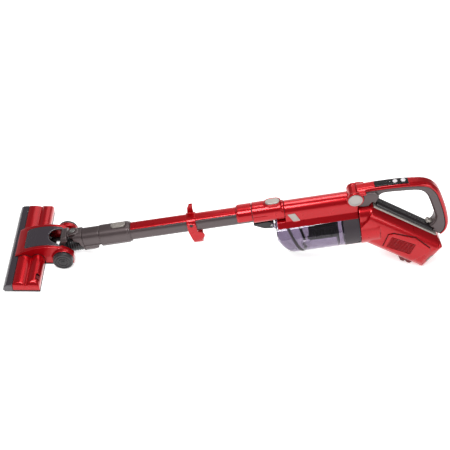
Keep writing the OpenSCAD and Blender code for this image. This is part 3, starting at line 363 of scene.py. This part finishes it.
def from_bmesh(name: str, shape: bmesh.types.BMesh, smooth_angle: float = 35.0) -> bpy.types.Object:
    """Turns a bmesh into an object with soft shading and crisp edges.

    Args:
        name: The piece's name.
        shape: The mesh to take, which is freed.
        smooth_angle: Edges sharper than this many degrees stay crisp.

    Returns:
        The new object.
    """
    bmesh.ops.remove_doubles(shape, verts=shape.verts, dist=1e-6)
    bmesh.ops.recalc_face_normals(shape, faces=shape.faces)
    for face in shape.faces:
        face.smooth = True
    limit = math.radians(smooth_angle)
    for edge in shape.edges:
        edge.smooth = len(edge.link_faces) == 2 and edge.calc_face_angle(0.0) < limit
    mesh = bpy.data.meshes.new(name)
    shape.to_mesh(mesh)
    shape.free()
    return new_object(name, mesh)


def baked(piece: bpy.types.Object) -> bpy.types.Object:
    """Applies a piece's modifiers by taking its evaluated mesh, and removes them."""
    depsgraph = bpy.context.evaluated_depsgraph_get()
    depsgraph.update()
    mesh = bpy.data.meshes.new_from_object(piece.evaluated_get(depsgraph))
    old = piece.data
    piece.modifiers.clear()
    piece.data = mesh
    bpy.data.meshes.remove(old)
    return piece


def wear(piece: bpy.types.Object, material: bpy.types.Material) -> None:
    """Gives a piece one material in every slot."""
    if not piece.data.materials:
        piece.data.materials.append(material)
    for i in range(len(piece.data.materials)):
        piece.data.materials[i] = material


@dataclass
class Assembly:
    """A group of pieces that belong together on the bench.

    Attributes:
        paint: Where the finishes come from.
        stick: The wand's own line, from the handle hinge.
    """

    frame: dict
    paint: Paintbox
    stick: LocalFrame
    made: list[str] = field(default_factory=list)

    def body_of(self, node: str) -> str:
        """The body that a CAD node belongs to."""
        bodies: dict[str, list[str]] = self.frame["record"]["behaviour"]["bodies"]
        return next(name for name, nodes in bodies.items() if node in nodes)

    def keep(self, node: str, finish: Finish, edge_mm: float = 0.5, flatten: bool = True) -> None:
        """Dresses a CAD node as it is, with small rounded edges.

        Args:
            node: The CAD node's name.
            finish: Its finish.
            edge_mm: The radius of its edges, or 0 for none.
            flatten: Whether to join coplanar faces first, which a face with holes can't take.
        """
        piece = self.frame["nodes"][node]
        for face in piece.data.polygons:
            face.use_smooth = True
        weld = piece.modifiers.new("weld", "WELD")
        weld.merge_threshold = WELD_MM * MM
        if flatten:
            flat = piece.modifiers.new("flat", "DECIMATE")
            flat.decimate_type = "DISSOLVE"
            flat.angle_limit = math.radians(FLAT_DEGREES)
        if edge_mm:
            bevel = piece.modifiers.new("edges", "BEVEL")
            bevel.width = edge_mm * MM
            bevel.segments = 2
            bevel.limit_method = "ANGLE"
            bevel.angle_limit = math.radians(SHARP_DEGREES)
            bevel.use_clamp_overlap = False
            bevel.miter_outer = "MITER_ARC"
        shading = piece.modifiers.new("shading", "WEIGHTED_NORMAL")
        shading.keep_sharp = True
        shading.weight = 80
        wear(piece, self.paint.get(finish))
        self.made.append(node)

    def shade_joints(self, piece: bpy.types.Object, neighbours: Iterable[str],
                     reach_mm: float = JOINT_MM, ceiling_mm: float = math.inf) -> None:
        """Blackens the faces of a piece that lie beside its neighbours, as a deep gap would be.

        Args:
            piece: The moulded piece.
            neighbours: The CAD nodes that it meets with an open gap.
            reach_mm: How near a face must be to a neighbour.
            ceiling_mm: Faces higher than this above the floor keep their colour.
        """
        if len(piece.data.materials) < 2:
            piece.data.materials.append(self.paint.get(Finish.JOINT_SHADOW))
        for node in neighbours:
            shape = bmesh.new()
            shape.from_mesh(self.frame["nodes"][node].data)
            tree = BVHTree.FromBMesh(shape)
            shape.free()
            for face in piece.data.polygons:
                if face.center.z > ceiling_mm * MM:
                    continue
                if tree.find_nearest(face.center, reach_mm * MM)[0] is not None:
                    face.material_index = 1

    def mould(self, node: str, finish: Finish, voxel_mm: float = 1.0, soften: int = 8,
              joints: Iterable[str] = ()) -> bpy.types.Object:
        """Replaces a CAD node by a softened copy, with the flowing edges of a moulding.

        Args:
            node: The CAD node that gives the shape.
            finish: The piece's finish.
            voxel_mm: The size of the surface cells.
            soften: How many passes of smoothing round the edges.
            joints: The CAD nodes that meet it across a dark gap.

        Returns:
            The new piece.
        """
        source = self.frame["nodes"][node]
        shape = bmesh.new()
        shape.from_mesh(source.data)
        bmesh.ops.remove_doubles(shape, verts=shape.verts, dist=1e-5)
        mesh = bpy.data.meshes.new(f"{node}_moulded")
        shape.to_mesh(mesh)
        shape.free()
        piece = new_object(f"{node}_moulded", mesh)
        remesh = piece.modifiers.new("cells", "REMESH")
        remesh.mode = "VOXEL"
        remesh.voxel_size = voxel_mm * MM
        remesh.use_smooth_shade = True
        smooth = piece.modifiers.new("soften", "SMOOTH")
        smooth.factor = 0.5
        smooth.iterations = soften
        baked(piece)
        for face in piece.data.polygons:
            face.use_smooth = True
        self.add(piece, finish, self.body_of(node), (node,))
        if joints:
            self.shade_joints(piece, joints)
        return piece

    def add(self, piece: bpy.types.Object, finish: Finish, body: str,
            stands_for: Iterable[str] = ()) -> None:
        """Dresses a new piece and puts it on its body.

        Args:
            piece: The finished piece, at the origin.
            finish: Its finish.
            body: The CAD body that carries it.
            stands_for: The CAD nodes that it replaces.
        """
        wear(piece, self.paint.get(finish))
        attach(piece, body)
        for node in stands_for:
            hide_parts(node)
        first = next(iter(stands_for), None)
        self.made.append(piece.name)

    def report(self) -> None:
        """Logs what was made."""
        LOG.info("%s: %s", type(self).__name__, ", ".join(self.made))


# ---------------------------------------------------------------- geometry node trees


class NodeShape:
    """A Geometry Nodes tree that makes a piece from named inputs, and bakes it to a plain mesh."""

    def __init__(self, name: str, sizes: dict[str, float]) -> None:
        """Opens a tree with one float input for each size.

        Args:
            name: The tree's and the piece's name.
            sizes: Each input's name and value.
        """
        self.name = name
        self.sizes = sizes
        self.tree = bpy.data.node_groups.new(name, "GeometryNodeTree")
        for label in sizes:
            self.tree.interface.new_socket(label, in_out="INPUT", socket_type="NodeSocketFloat")
        self.tree.interface.new_socket("Geometry", in_out="OUTPUT",
                                       socket_type="NodeSocketGeometry")
        self.given = self.tree.nodes.new("NodeGroupInput").outputs

    def node(self, kind: str, settings: Optional[dict[str, object]] = None,
             inputs: Optional[dict[Union[str, int], Value]] = None) -> bpy.types.Node:
        """Adds a node to the tree."""
        return add_node(self.tree, kind, settings, inputs)

    def maths(self, operation: str, first: Value, second: Value = 0.0) -> bpy.types.NodeSocket:
        """Adds a sum on two numbers and returns its result."""
        node = self.node("ShaderNodeMath", {"operation": operation}, {0: first, 1: second})
        return node.outputs[0]

    def bake(self, geometry: bpy.types.NodeSocket, material: bpy.types.Material,
             place: Matrix) -> bpy.types.Object:
        """Ends the tree, evaluates it and puts the mesh in its place.

        Args:
            geometry: The socket that holds the shape.
            material: The finish that the tree sets.
            place: Where the tree's own origin and axes go in the row frame.

        Returns:
            A plain mesh object at the origin.
        """
        real = self.node("GeometryNodeRealizeInstances", None, {"Geometry": geometry})
        dressed = self.node("GeometryNodeSetMaterial", None, {"Geometry": real.outputs[0]})
        dressed.inputs["Material"].default_value = material
        out = self.tree.nodes.new("NodeGroupOutput")
        self.tree.links.new(dressed.outputs[0], out.inputs[0])
        piece = new_object(self.name, bpy.data.meshes.new(self.name))
        modifier = piece.modifiers.new("shape", "NODES")
        modifier.node_group = self.tree
        for item in self.tree.interface.items_tree:
            if item.in_out == "INPUT":
                modifier[item.identifier] = float(self.sizes[item.name])
        baked(piece)
        piece.data.transform(place)
        return piece


def ribbed_hose(paint: bpy.types.Material, place: Matrix,
                sizes: dict[str, float]) -> bpy.types.Object:
    """Makes a corrugated hose: a tube with round ribs strung along its line.

    Args:
        paint: The hose's finish.
        place: The hose's start, with its line along local X.
        sizes: "Length", "Radius", "Wall radius", "Ribs" and "Rib radius", in metres and a count.

    Returns:
        The hose as a plain mesh.
    """
    shape = NodeShape("neck_hose_ribbed", sizes)
    given = shape.given
    end = shape.node("ShaderNodeCombineXYZ", None, {"X": given["Length"]})
    line = shape.node("GeometryNodeCurvePrimitiveLine", None, {"End": end.outputs[0]})
    fine = shape.node("GeometryNodeResampleCurve", None, {"Curve": line.outputs[0], "Count": 40})
    round_wall = shape.node("GeometryNodeCurvePrimitiveCircle", None, {
        "Resolution": 40, "Radius": given["Wall radius"]})
    wall = shape.node("GeometryNodeCurveToMesh", None, {
        "Curve": fine.outputs[0], "Profile Curve": round_wall.outputs[0], "Fill Caps": True})
    seats = shape.node("GeometryNodeResampleCurve", None, {
        "Curve": line.outputs[0], "Count": given["Ribs"]})
    path = shape.node("GeometryNodeCurvePrimitiveCircle", None, {
        "Resolution": 48, "Radius": shape.maths("SUBTRACT", given["Radius"], given["Rib radius"])})
    bead = shape.node("GeometryNodeCurvePrimitiveCircle", None, {
        "Resolution": 10, "Radius": given["Rib radius"]})
    ring = shape.node("GeometryNodeCurveToMesh", None, {
        "Curve": path.outputs[0], "Profile Curve": bead.outputs[0]})
    upright = shape.node("GeometryNodeTransform", None, {
        "Geometry": ring.outputs[0], "Rotation": (0.0, math.pi / 2, 0.0)})
    strung = shape.node("GeometryNodeInstanceOnPoints", None, {
        "Points": seats.outputs[0], "Instance": upright.outputs[0]})
    both = shape.node("GeometryNodeJoinGeometry")
    shape.tree.links.new(wall.outputs[0], both.inputs[0])
    shape.tree.links.new(strung.outputs[0], both.inputs[0])
    soft = shape.node("GeometryNodeSetShadeSmooth", None, {"Geometry": both.outputs[0]})
    return shape.bake(soft.outputs[0], paint, place)


def bristle_rows(paint: bpy.types.Material, place: Matrix,
                 sizes: dict[str, float]) -> bpy.types.Object:
    """Makes the brush roll's tufts, in rows that wind round the core.

    Args:
        paint: The bristles' finish.
        place: The roll's middle, with its axis along local Z.
        sizes: "Length", "Root radius", "Tip radius", "Turns", "Tufts", "Tuft radius".

    Returns:
        The tufts as a plain mesh.
    """
    shape = NodeShape("brush_bristles_tufted", sizes)
    given = shape.given
    spiral = shape.node("GeometryNodeCurveSpiral", None, {
        "Resolution": 96, "Rotations": given["Turns"], "Start Radius": given["Root radius"],
        "End Radius": given["Root radius"], "Height": given["Length"]})
    centred = shape.node("GeometryNodeTransform", None, {"Geometry": spiral.outputs[0]})
    down = shape.node("ShaderNodeCombineXYZ", None, {
        "Z": shape.maths("MULTIPLY", given["Length"], -0.5)})
    shape.tree.links.new(down.outputs[0], centred.inputs["Translation"])
    seats = shape.node("GeometryNodeResampleCurve", None, {
        "Curve": centred.outputs[0], "Count": given["Tufts"]})
    height = shape.maths("SUBTRACT", given["Tip radius"], given["Root radius"])
    tuft = shape.node("GeometryNodeMeshCone", None, {
        "Vertices": 5, "Radius Top": shape.maths("MULTIPLY", given["Tuft radius"], 1.4),
        "Radius Bottom": given["Tuft radius"], "Depth": height})
    spot = shape.node("GeometryNodeInputPosition")
    outward = shape.node("ShaderNodeVectorMath", {"operation": "MULTIPLY"}, {
        0: spot.outputs[0], 1: (1.0, 1.0, 0.0)})
    aim = shape.node("FunctionNodeAlignRotationToVector", {"axis": "Z"}, {
        "Vector": outward.outputs[0]})
    row = shape.node("GeometryNodeInstanceOnPoints", None, {
        "Points": seats.outputs[0], "Instance": tuft.outputs[0], "Rotation": aim.outputs[0]})
    rows = shape.node("GeometryNodeJoinGeometry")
    for quarter in range(4):
        turned = shape.node("GeometryNodeTransform", None, {
            "Geometry": row.outputs[0], "Rotation": (0.0, 0.0, quarter * math.pi / 2)})
        shape.tree.links.new(turned.outputs[0], rows.inputs[0])
    return shape.bake(rows.outputs[0], paint, place)


def dot_row(name: str, paint: bpy.types.Material, place: Matrix,
            sizes: dict[str, float]) -> bpy.types.Object:
    """Makes a straight row of small domed dots, such as lamp windows or grip pips.

    Args:
        name: The piece's name.
        paint: The dots' finish.
        place: The row's middle, with the row along local X and the dots facing local Z.
        sizes: "Length", "Dots", "Dot radius" and "Rise".

    Returns:
        The dots as a plain mesh.
    """
    shape = NodeShape(name, sizes)
    given = shape.given
    half = shape.maths("MULTIPLY", given["Length"], 0.5)
    start = shape.node("ShaderNodeCombineXYZ", None, {"X": shape.maths("MULTIPLY", half, -1.0)})
    end = shape.node("ShaderNodeCombineXYZ", None, {"X": half})
    line = shape.node("GeometryNodeCurvePrimitiveLine", None, {
        "Start": start.outputs[0], "End": end.outputs[0]})
    seats = shape.node("GeometryNodeResampleCurve", None, {
        "Curve": line.outputs[0], "Count": given["Dots"]})
    dome = shape.node("GeometryNodeMeshUVSphere", None, {
        "Segments": 16, "Rings": 8, "Radius": given["Dot radius"]})
    squash = shape.node("ShaderNodeCombineXYZ", None, {
        "X": 1.0, "Y": 1.0, "Z": shape.maths("DIVIDE", given["Rise"], given["Dot radius"])})
    flat = shape.node("GeometryNodeTransform", None, {
        "Geometry": dome.outputs[0], "Scale": squash.outputs[0]})
    dots = shape.node("GeometryNodeInstanceOnPoints", None, {
        "Points": seats.outputs[0], "Instance": flat.outputs[0]})
    soft = shape.node("GeometryNodeSetShadeSmooth", None, {"Geometry": dots.outputs[0]})
    return shape.bake(soft.outputs[0], paint, place)


# ---------------------------------------------------------------- sub-assemblies


@dataclass
class FloorHead(Assembly):
    """The powered floor head: shells, sole, bumper, brush roll with its drive, and wheels."""

    tufts_per_row: int = 60
    tuft_mm: float = 0.9

    def build(self) -> None:
        """Makes and dresses the head."""
        shell = self.mould("head_top_shell", Finish.RED_LACQUER, 1.0, 4,
                           ("front_bumper", "head_arch_cover"))
        self.shade_joints(shell, ("head_sole",), RIM_MM, RIM_TOP_MM)
        self.mould("head_arch_cover", Finish.RED_LACQUER, 0.8, 5,
                   ("head_top_plate", "front_bumper"))
        self.mould("front_bumper", Finish.DARK_GLOSS, 0.9, 4)
        self.mould("head_top_plate", Finish.DARK_GLOSS, 0.6, 4)
        self.keep("head_sole", Finish.BLACK_ABS, 0.0, flatten=False)
        self.keep("bumper_lens", Finish.CLEAR_STRIP, 0.4)
        self.keep("brush_roll", Finish.WARM_GREY_PAINT, 0.3)
        self.keep("brush_bearings", Finish.TURNED_STEEL, 0.2)
        self.keep("brush_motor", Finish.TURNED_STEEL, 0.4)
        self.keep("motor_pulley", Finish.BRASS, 0.2)
        self.keep("brush_pulley", Finish.BLACK_ABS, 0.3)
        self.keep("drive_belt", Finish.SEAL_RUBBER, 0.2)
        self.keep("brush_release_slide", Finish.DARK_RED_ABS, 0.4)
        self.keep("rear_wheel_near", Finish.TYRE_RUBBER, 0.7)
        self.keep("rear_wheel_far", Finish.TYRE_RUBBER, 0.7)
        self.keep("head_axle_pins", Finish.BLACK_ABS, 0.3)
        self.keep("sole_screws", Finish.TURNED_STEEL, 0.15)
        self.make_bristles()

    def make_bristles(self) -> None:
        """Winds four rows of tufts round the brush roll."""
        low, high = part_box("brush_bristles")
        centre = (low + high) / 2
        core_low, core_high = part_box("brush_roll")
        core = (core_high.z - core_low.z) / 2
        tip = (high.z - low.z) / 2
        place = Matrix.Translation(centre) @ Matrix.Rotation(math.pi / 2, 4, "X")
        piece = bristle_rows(self.paint.get(Finish.NYLON), place, {
            "Length": high.y - low.y - 4 * MM, "Root radius": core - 0.5 * MM,
            "Tip radius": tip - 0.4 * MM, "Turns": 0.75,
            "Tufts": self.tufts_per_row, "Tuft radius": self.tuft_mm * MM})
        self.add(piece, Finish.NYLON, self.body_of("brush_bristles"), ("brush_bristles",))


@dataclass
class Neck(Assembly):
    """The cradle, the swivel knuckle and the hose that passes through them."""

    ribs: int = 8
    rib_mm: float = 2.1
    hose_mm: float = 18.4
    wall_drop_mm: float = 2.6
    grip_mm: float = 6.0

    def build(self) -> None:
        """Makes and dresses the neck."""
        self.mould("neck_cradle", Finish.WARM_GREY_PAINT, 0.8, 6)
        self.mould("neck_knuckle", Finish.WARM_GREY_PAINT, 0.8, 6)
        self.mould("neck_tube", Finish.WARM_GREY_PAINT, 0.9, 8)
        self.mould("wand_socket", Finish.WARM_GREY_PAINT, 1.0, 5)
        self.keep("swing_pin", Finish.TURNED_STEEL, 0.4)
        self.keep("head_release_button", Finish.CHAMPAGNE, 0.5)
        self.make_hose()

    def make_hose(self) -> None:
        """Strings the ribs along the neck."""
        low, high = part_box("neck_hose")
        centre = (low + high) / 2
        along = self.stick.along
        half = (high.x - low.x) / 2 / along.x
        radius = self.hose_mm * MM
        reach = 2 * (half - radius * along.z / along.x)
        start = centre - along * reach / 2
        turned = self.stick.matrix()
        turned.translation = start
        piece = ribbed_hose(self.paint.get(Finish.HOSE_VINYL), turned, {
            "Length": reach, "Radius": radius, "Wall radius": radius - self.wall_drop_mm * MM,
            "Ribs": self.ribs, "Rib radius": self.rib_mm * MM})
        wear(piece, self.paint.get(Finish.HOSE_VINYL))
        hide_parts("neck_hose")
        self.body_of("neck_cradle")
        self.body_of("neck_knuckle")
        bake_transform(piece)
        self.made.append(piece.name)


@dataclass
class Wand(Assembly):
    """The wand tube with its red top cover and the accessory clip."""

    def build(self) -> None:
        """Makes and dresses the wand."""
        self.keep("wand_tube", Finish.WARM_GREY_PAINT, 0.3)
        self.mould("wand_cover", Finish.RED_LACQUER, 0.7, 4)
        self.mould("accessory_clip", Finish.RED_LACQUER, 0.7, 6)
        self.keep("clip_screw", Finish.BLACK_ABS, 0.3)


@dataclass
class Body(Assembly):
    """The nose, the beam, the motor housing with its fan, and the battery."""

    def build(self) -> None:
        """Makes and dresses the body."""
        self.mould("nose_collar", Finish.RED_LACQUER, 0.9, 6)
        self.mould("upper_beam", Finish.RED_LACQUER, 1.0, 5, ("nose_collar",))
        self.keep("side_inlays", Finish.CHAMPAGNE, 0.3)
        self.keep("wand_release_button", Finish.CHAMPAGNE, 0.6)
        self.mould("motor_housing_near", Finish.RED_LACQUER, 1.2, 10,
                   ("battery_pack", "bin_collar", "grille_covers"))
        self.mould("motor_housing_far", Finish.RED_LACQUER, 1.2, 10, ("battery_pack", "bin_collar"))
        self.mould("rear_cap", Finish.RED_LACQUER, 1.0, 8, ("side_inlays",))
        self.mould("grille_covers", Finish.RED_LACQUER, 0.8, 3)
        self.keep("exhaust_filters", Finish.FOAM, 0.0)
        self.mould("dock_foot", Finish.DARK_RED_ABS, 0.9, 5)
        self.keep("fan_motor", Finish.TURNED_STEEL, 0.5)
        self.keep("fan_impeller", Finish.SATIN_SILVER, 0.0)
        self.keep("charging_jack", Finish.BLACK_ABS, 0.3)
        self.keep("battery_pack", Finish.BLACK_SATIN, 0.6)
        self.keep("housing_trim", Finish.CHAMPAGNE, 0.5)


@dataclass
class DustBin(Assembly):
    """The clear bin with its lid, seal, cyclone box and filter."""

    def build(self) -> None:
        """Makes and dresses the bin."""
        self.keep("dust_bin", Finish.CLEAR_BIN, 0.5)
        self.mould("bin_lid", Finish.CLEAR_BIN, 0.9, 4)
        self.keep("bin_seal", Finish.SEAL_RUBBER, 0.4)
        self.keep("lid_latch_lever", Finish.BLACK_ABS, 0.4)
        self.keep("lid_hinge_pin", Finish.TURNED_STEEL, 0.3)
        self.keep("lid_latch_pin", Finish.TURNED_STEEL, 0.3)
        self.keep("cyclone_shroud", Finish.BLACK_ABS, 0.8)
        self.keep("bin_collar", Finish.SEAL_RUBBER, 0.5)
        self.keep("pre_motor_filter", Finish.PAPER, 0.0)


@dataclass
class Handle(Assembly):
    """The folding loop handle with its control panel, keys, hinge and catch."""

    lamps: int = 4

    def build(self) -> None:
        """Makes and dresses the handle."""
        self.mould("handle_outer_cover", Finish.RED_LACQUER, 0.9, 10,
                   ("control_panel", "handle_inner_shell"))
        self.mould("handle_inner_shell", Finish.WARM_GREY_PAINT, 1.0, 12)
        self.keep("control_panel", Finish.GLOSS_BLACK, 0.5)
        self.keep("power_button", Finish.BUTTON_WHITE, 0.5)
        self.keep("mode_button", Finish.BUTTON_WHITE, 0.5)
        self.keep("handle_catch", Finish.CHAMPAGNE, 0.6)
        self.keep("handle_hinge", Finish.SATIN_SILVER, 0.7)
        self.make_lamps()

    def make_lamps(self) -> None:
        """Sets a row of small lamp windows in the control panel."""
        low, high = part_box("control_panel")
        place = self.stick.matrix(72.0, 0.0, 20.75)
        piece = dot_row("panel_lamps", self.paint.get(Finish.LED), place, {
            "Length": 24 * MM, "Dots": self.lamps, "Dot radius": 1.3 * MM, "Rise": 0.5 * MM})
        self.add(piece, Finish.LED, self.body_of("control_panel"))


# ---------------------------------------------------------------- studio


@dataclass(frozen=True)
class Studio:
    """The floor, the soft lights and the camera.

    The camera's numbers are where it stands by the object's own wand line: it sees the near side
    from well above, a little turned, with a long lens.
    """

    elevation: float = 42.54
    turn: float = -1.40
    distance: float = 1.898
    focal_px: float = 798.0
    frame_px: int = 450
    shift_px: tuple[float, float] = (-8.16, -10.26)
    lean: float = 9.91
    hinge: tuple[float, float, float] = (0.320, 0.0, 0.060)

    def camera(self, stick: LocalFrame) -> None:
        """Places the camera by the wand line, as the object lies."""
        e, a = math.radians(self.elevation), math.radians(self.turn)
        back = Vector((math.sin(a) * math.cos(e), -math.cos(a) * math.cos(e), math.sin(e)))
        right = Vector((math.cos(a), math.sin(a), 0.0))
        up = back.cross(right)
        seen = Matrix((right, up, back)).transposed().to_4x4()
        seen.translation = back * self.distance
        rest = math.degrees(math.atan2(stick.along.z, stick.along.x))
        turn = Matrix.Rotation(-math.radians(rest - self.lean), 4, "Y")
        place = Matrix.Translation(stick.origin) @ turn @ Matrix.Translation(-Vector(self.hinge))
        data = bpy.data.cameras.new("camera")
        data.sensor_width = 36.0
        data.lens = self.focal_px / self.frame_px * data.sensor_width
        data.shift_x = -self.shift_px[0] / self.frame_px
        data.shift_y = self.shift_px[1] / self.frame_px
        data.clip_end = 50.0
        camera = bpy.data.objects.new("camera", data)
        bpy.context.scene.collection.objects.link(camera)
        camera.matrix_world = place @ seen
        bpy.context.scene.camera = camera

    def lamp(self, name: str, spot: tuple[float, float, float], size: float, power: float,
             target: tuple[float, float, float] = (0.0, 0.0, 0.1)) -> None:
        """Adds one square soft light that faces a target."""
        data = bpy.data.lights.new(name, "AREA")
        data.shape = "SQUARE"
        data.size = size
        data.energy = power
        lamp = bpy.data.objects.new(name, data)
        bpy.context.scene.collection.objects.link(lamp)
        lamp.location = spot
        lamp.rotation_mode = "QUATERNION"
        aim = Vector(target) - Vector(spot)
        lamp.rotation_quaternion = aim.to_track_quat("-Z", "Y")

    def build(self, stick: LocalFrame, paint: Paintbox) -> None:
        """Makes the floor, the lights, the world and the camera."""
        shape = bmesh.new()
        bmesh.ops.create_grid(shape, x_segments=4, y_segments=4, size=6.0)
        floor = from_bmesh("studio_floor", shape)
        floor.data.transform(Matrix.Translation((0.0, 0.0, -0.0005)))
        wear(floor, paint.get(Finish.STUDIO_FLOOR))
        self.lamp("key", (-0.5, -0.9, 1.9), 0.8, 26.0)
        self.lamp("fill", (1.5, -1.4, 1.0), 0.9, 9.0)
        self.lamp("top", (0.0, 0.9, 2.0), 0.9, 20.0)
        self.lamp("back", (0.2, 2.0, 0.9), 1.6, 10.0)
        world = bpy.data.worlds.new("studio")
        world.use_nodes = True
        sky = world.node_tree.nodes["Background"]
        sky.inputs["Color"].default_value = (1.0, 1.0, 1.0, 1.0)
        sky.inputs["Strength"].default_value = 0.2
        bpy.context.scene.world = world
        bpy.context.scene.view_settings.view_transform = "Standard"
        self.camera(stick)


def stick_frame(frame: dict) -> LocalFrame:
    """Works out the wand's own line from the joints.

    Args:
        frame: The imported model.

    Returns:
        The stick frame, from the handle hinge.
    """
    joints = {joint["name"]: joint for joint in frame["record"]["behaviour"]["joints"]}
    hinge = Vector(joints["handle_fold"]["pos_m"])
    up = -Vector(joints["bin_slide"]["axis"])
    along = ACROSS.cross(up).normalized()
    return LocalFrame(hinge, along)


def main() -> None:
    """Builds the studio and every sub-assembly in order."""
    logging.basicConfig(level=logging.INFO, format="%(name)s %(message)s")
    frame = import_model()
    stick = stick_frame(frame)
    paint = Paintbox()
    Studio().build(stick, paint)
    for kind in (FloorHead, Neck, Wand, Body, DustBin, Handle):
        assembly = kind(frame, paint, stick)
        assembly.build()
        assembly.report()


if __name__ == "__main__":
    main()
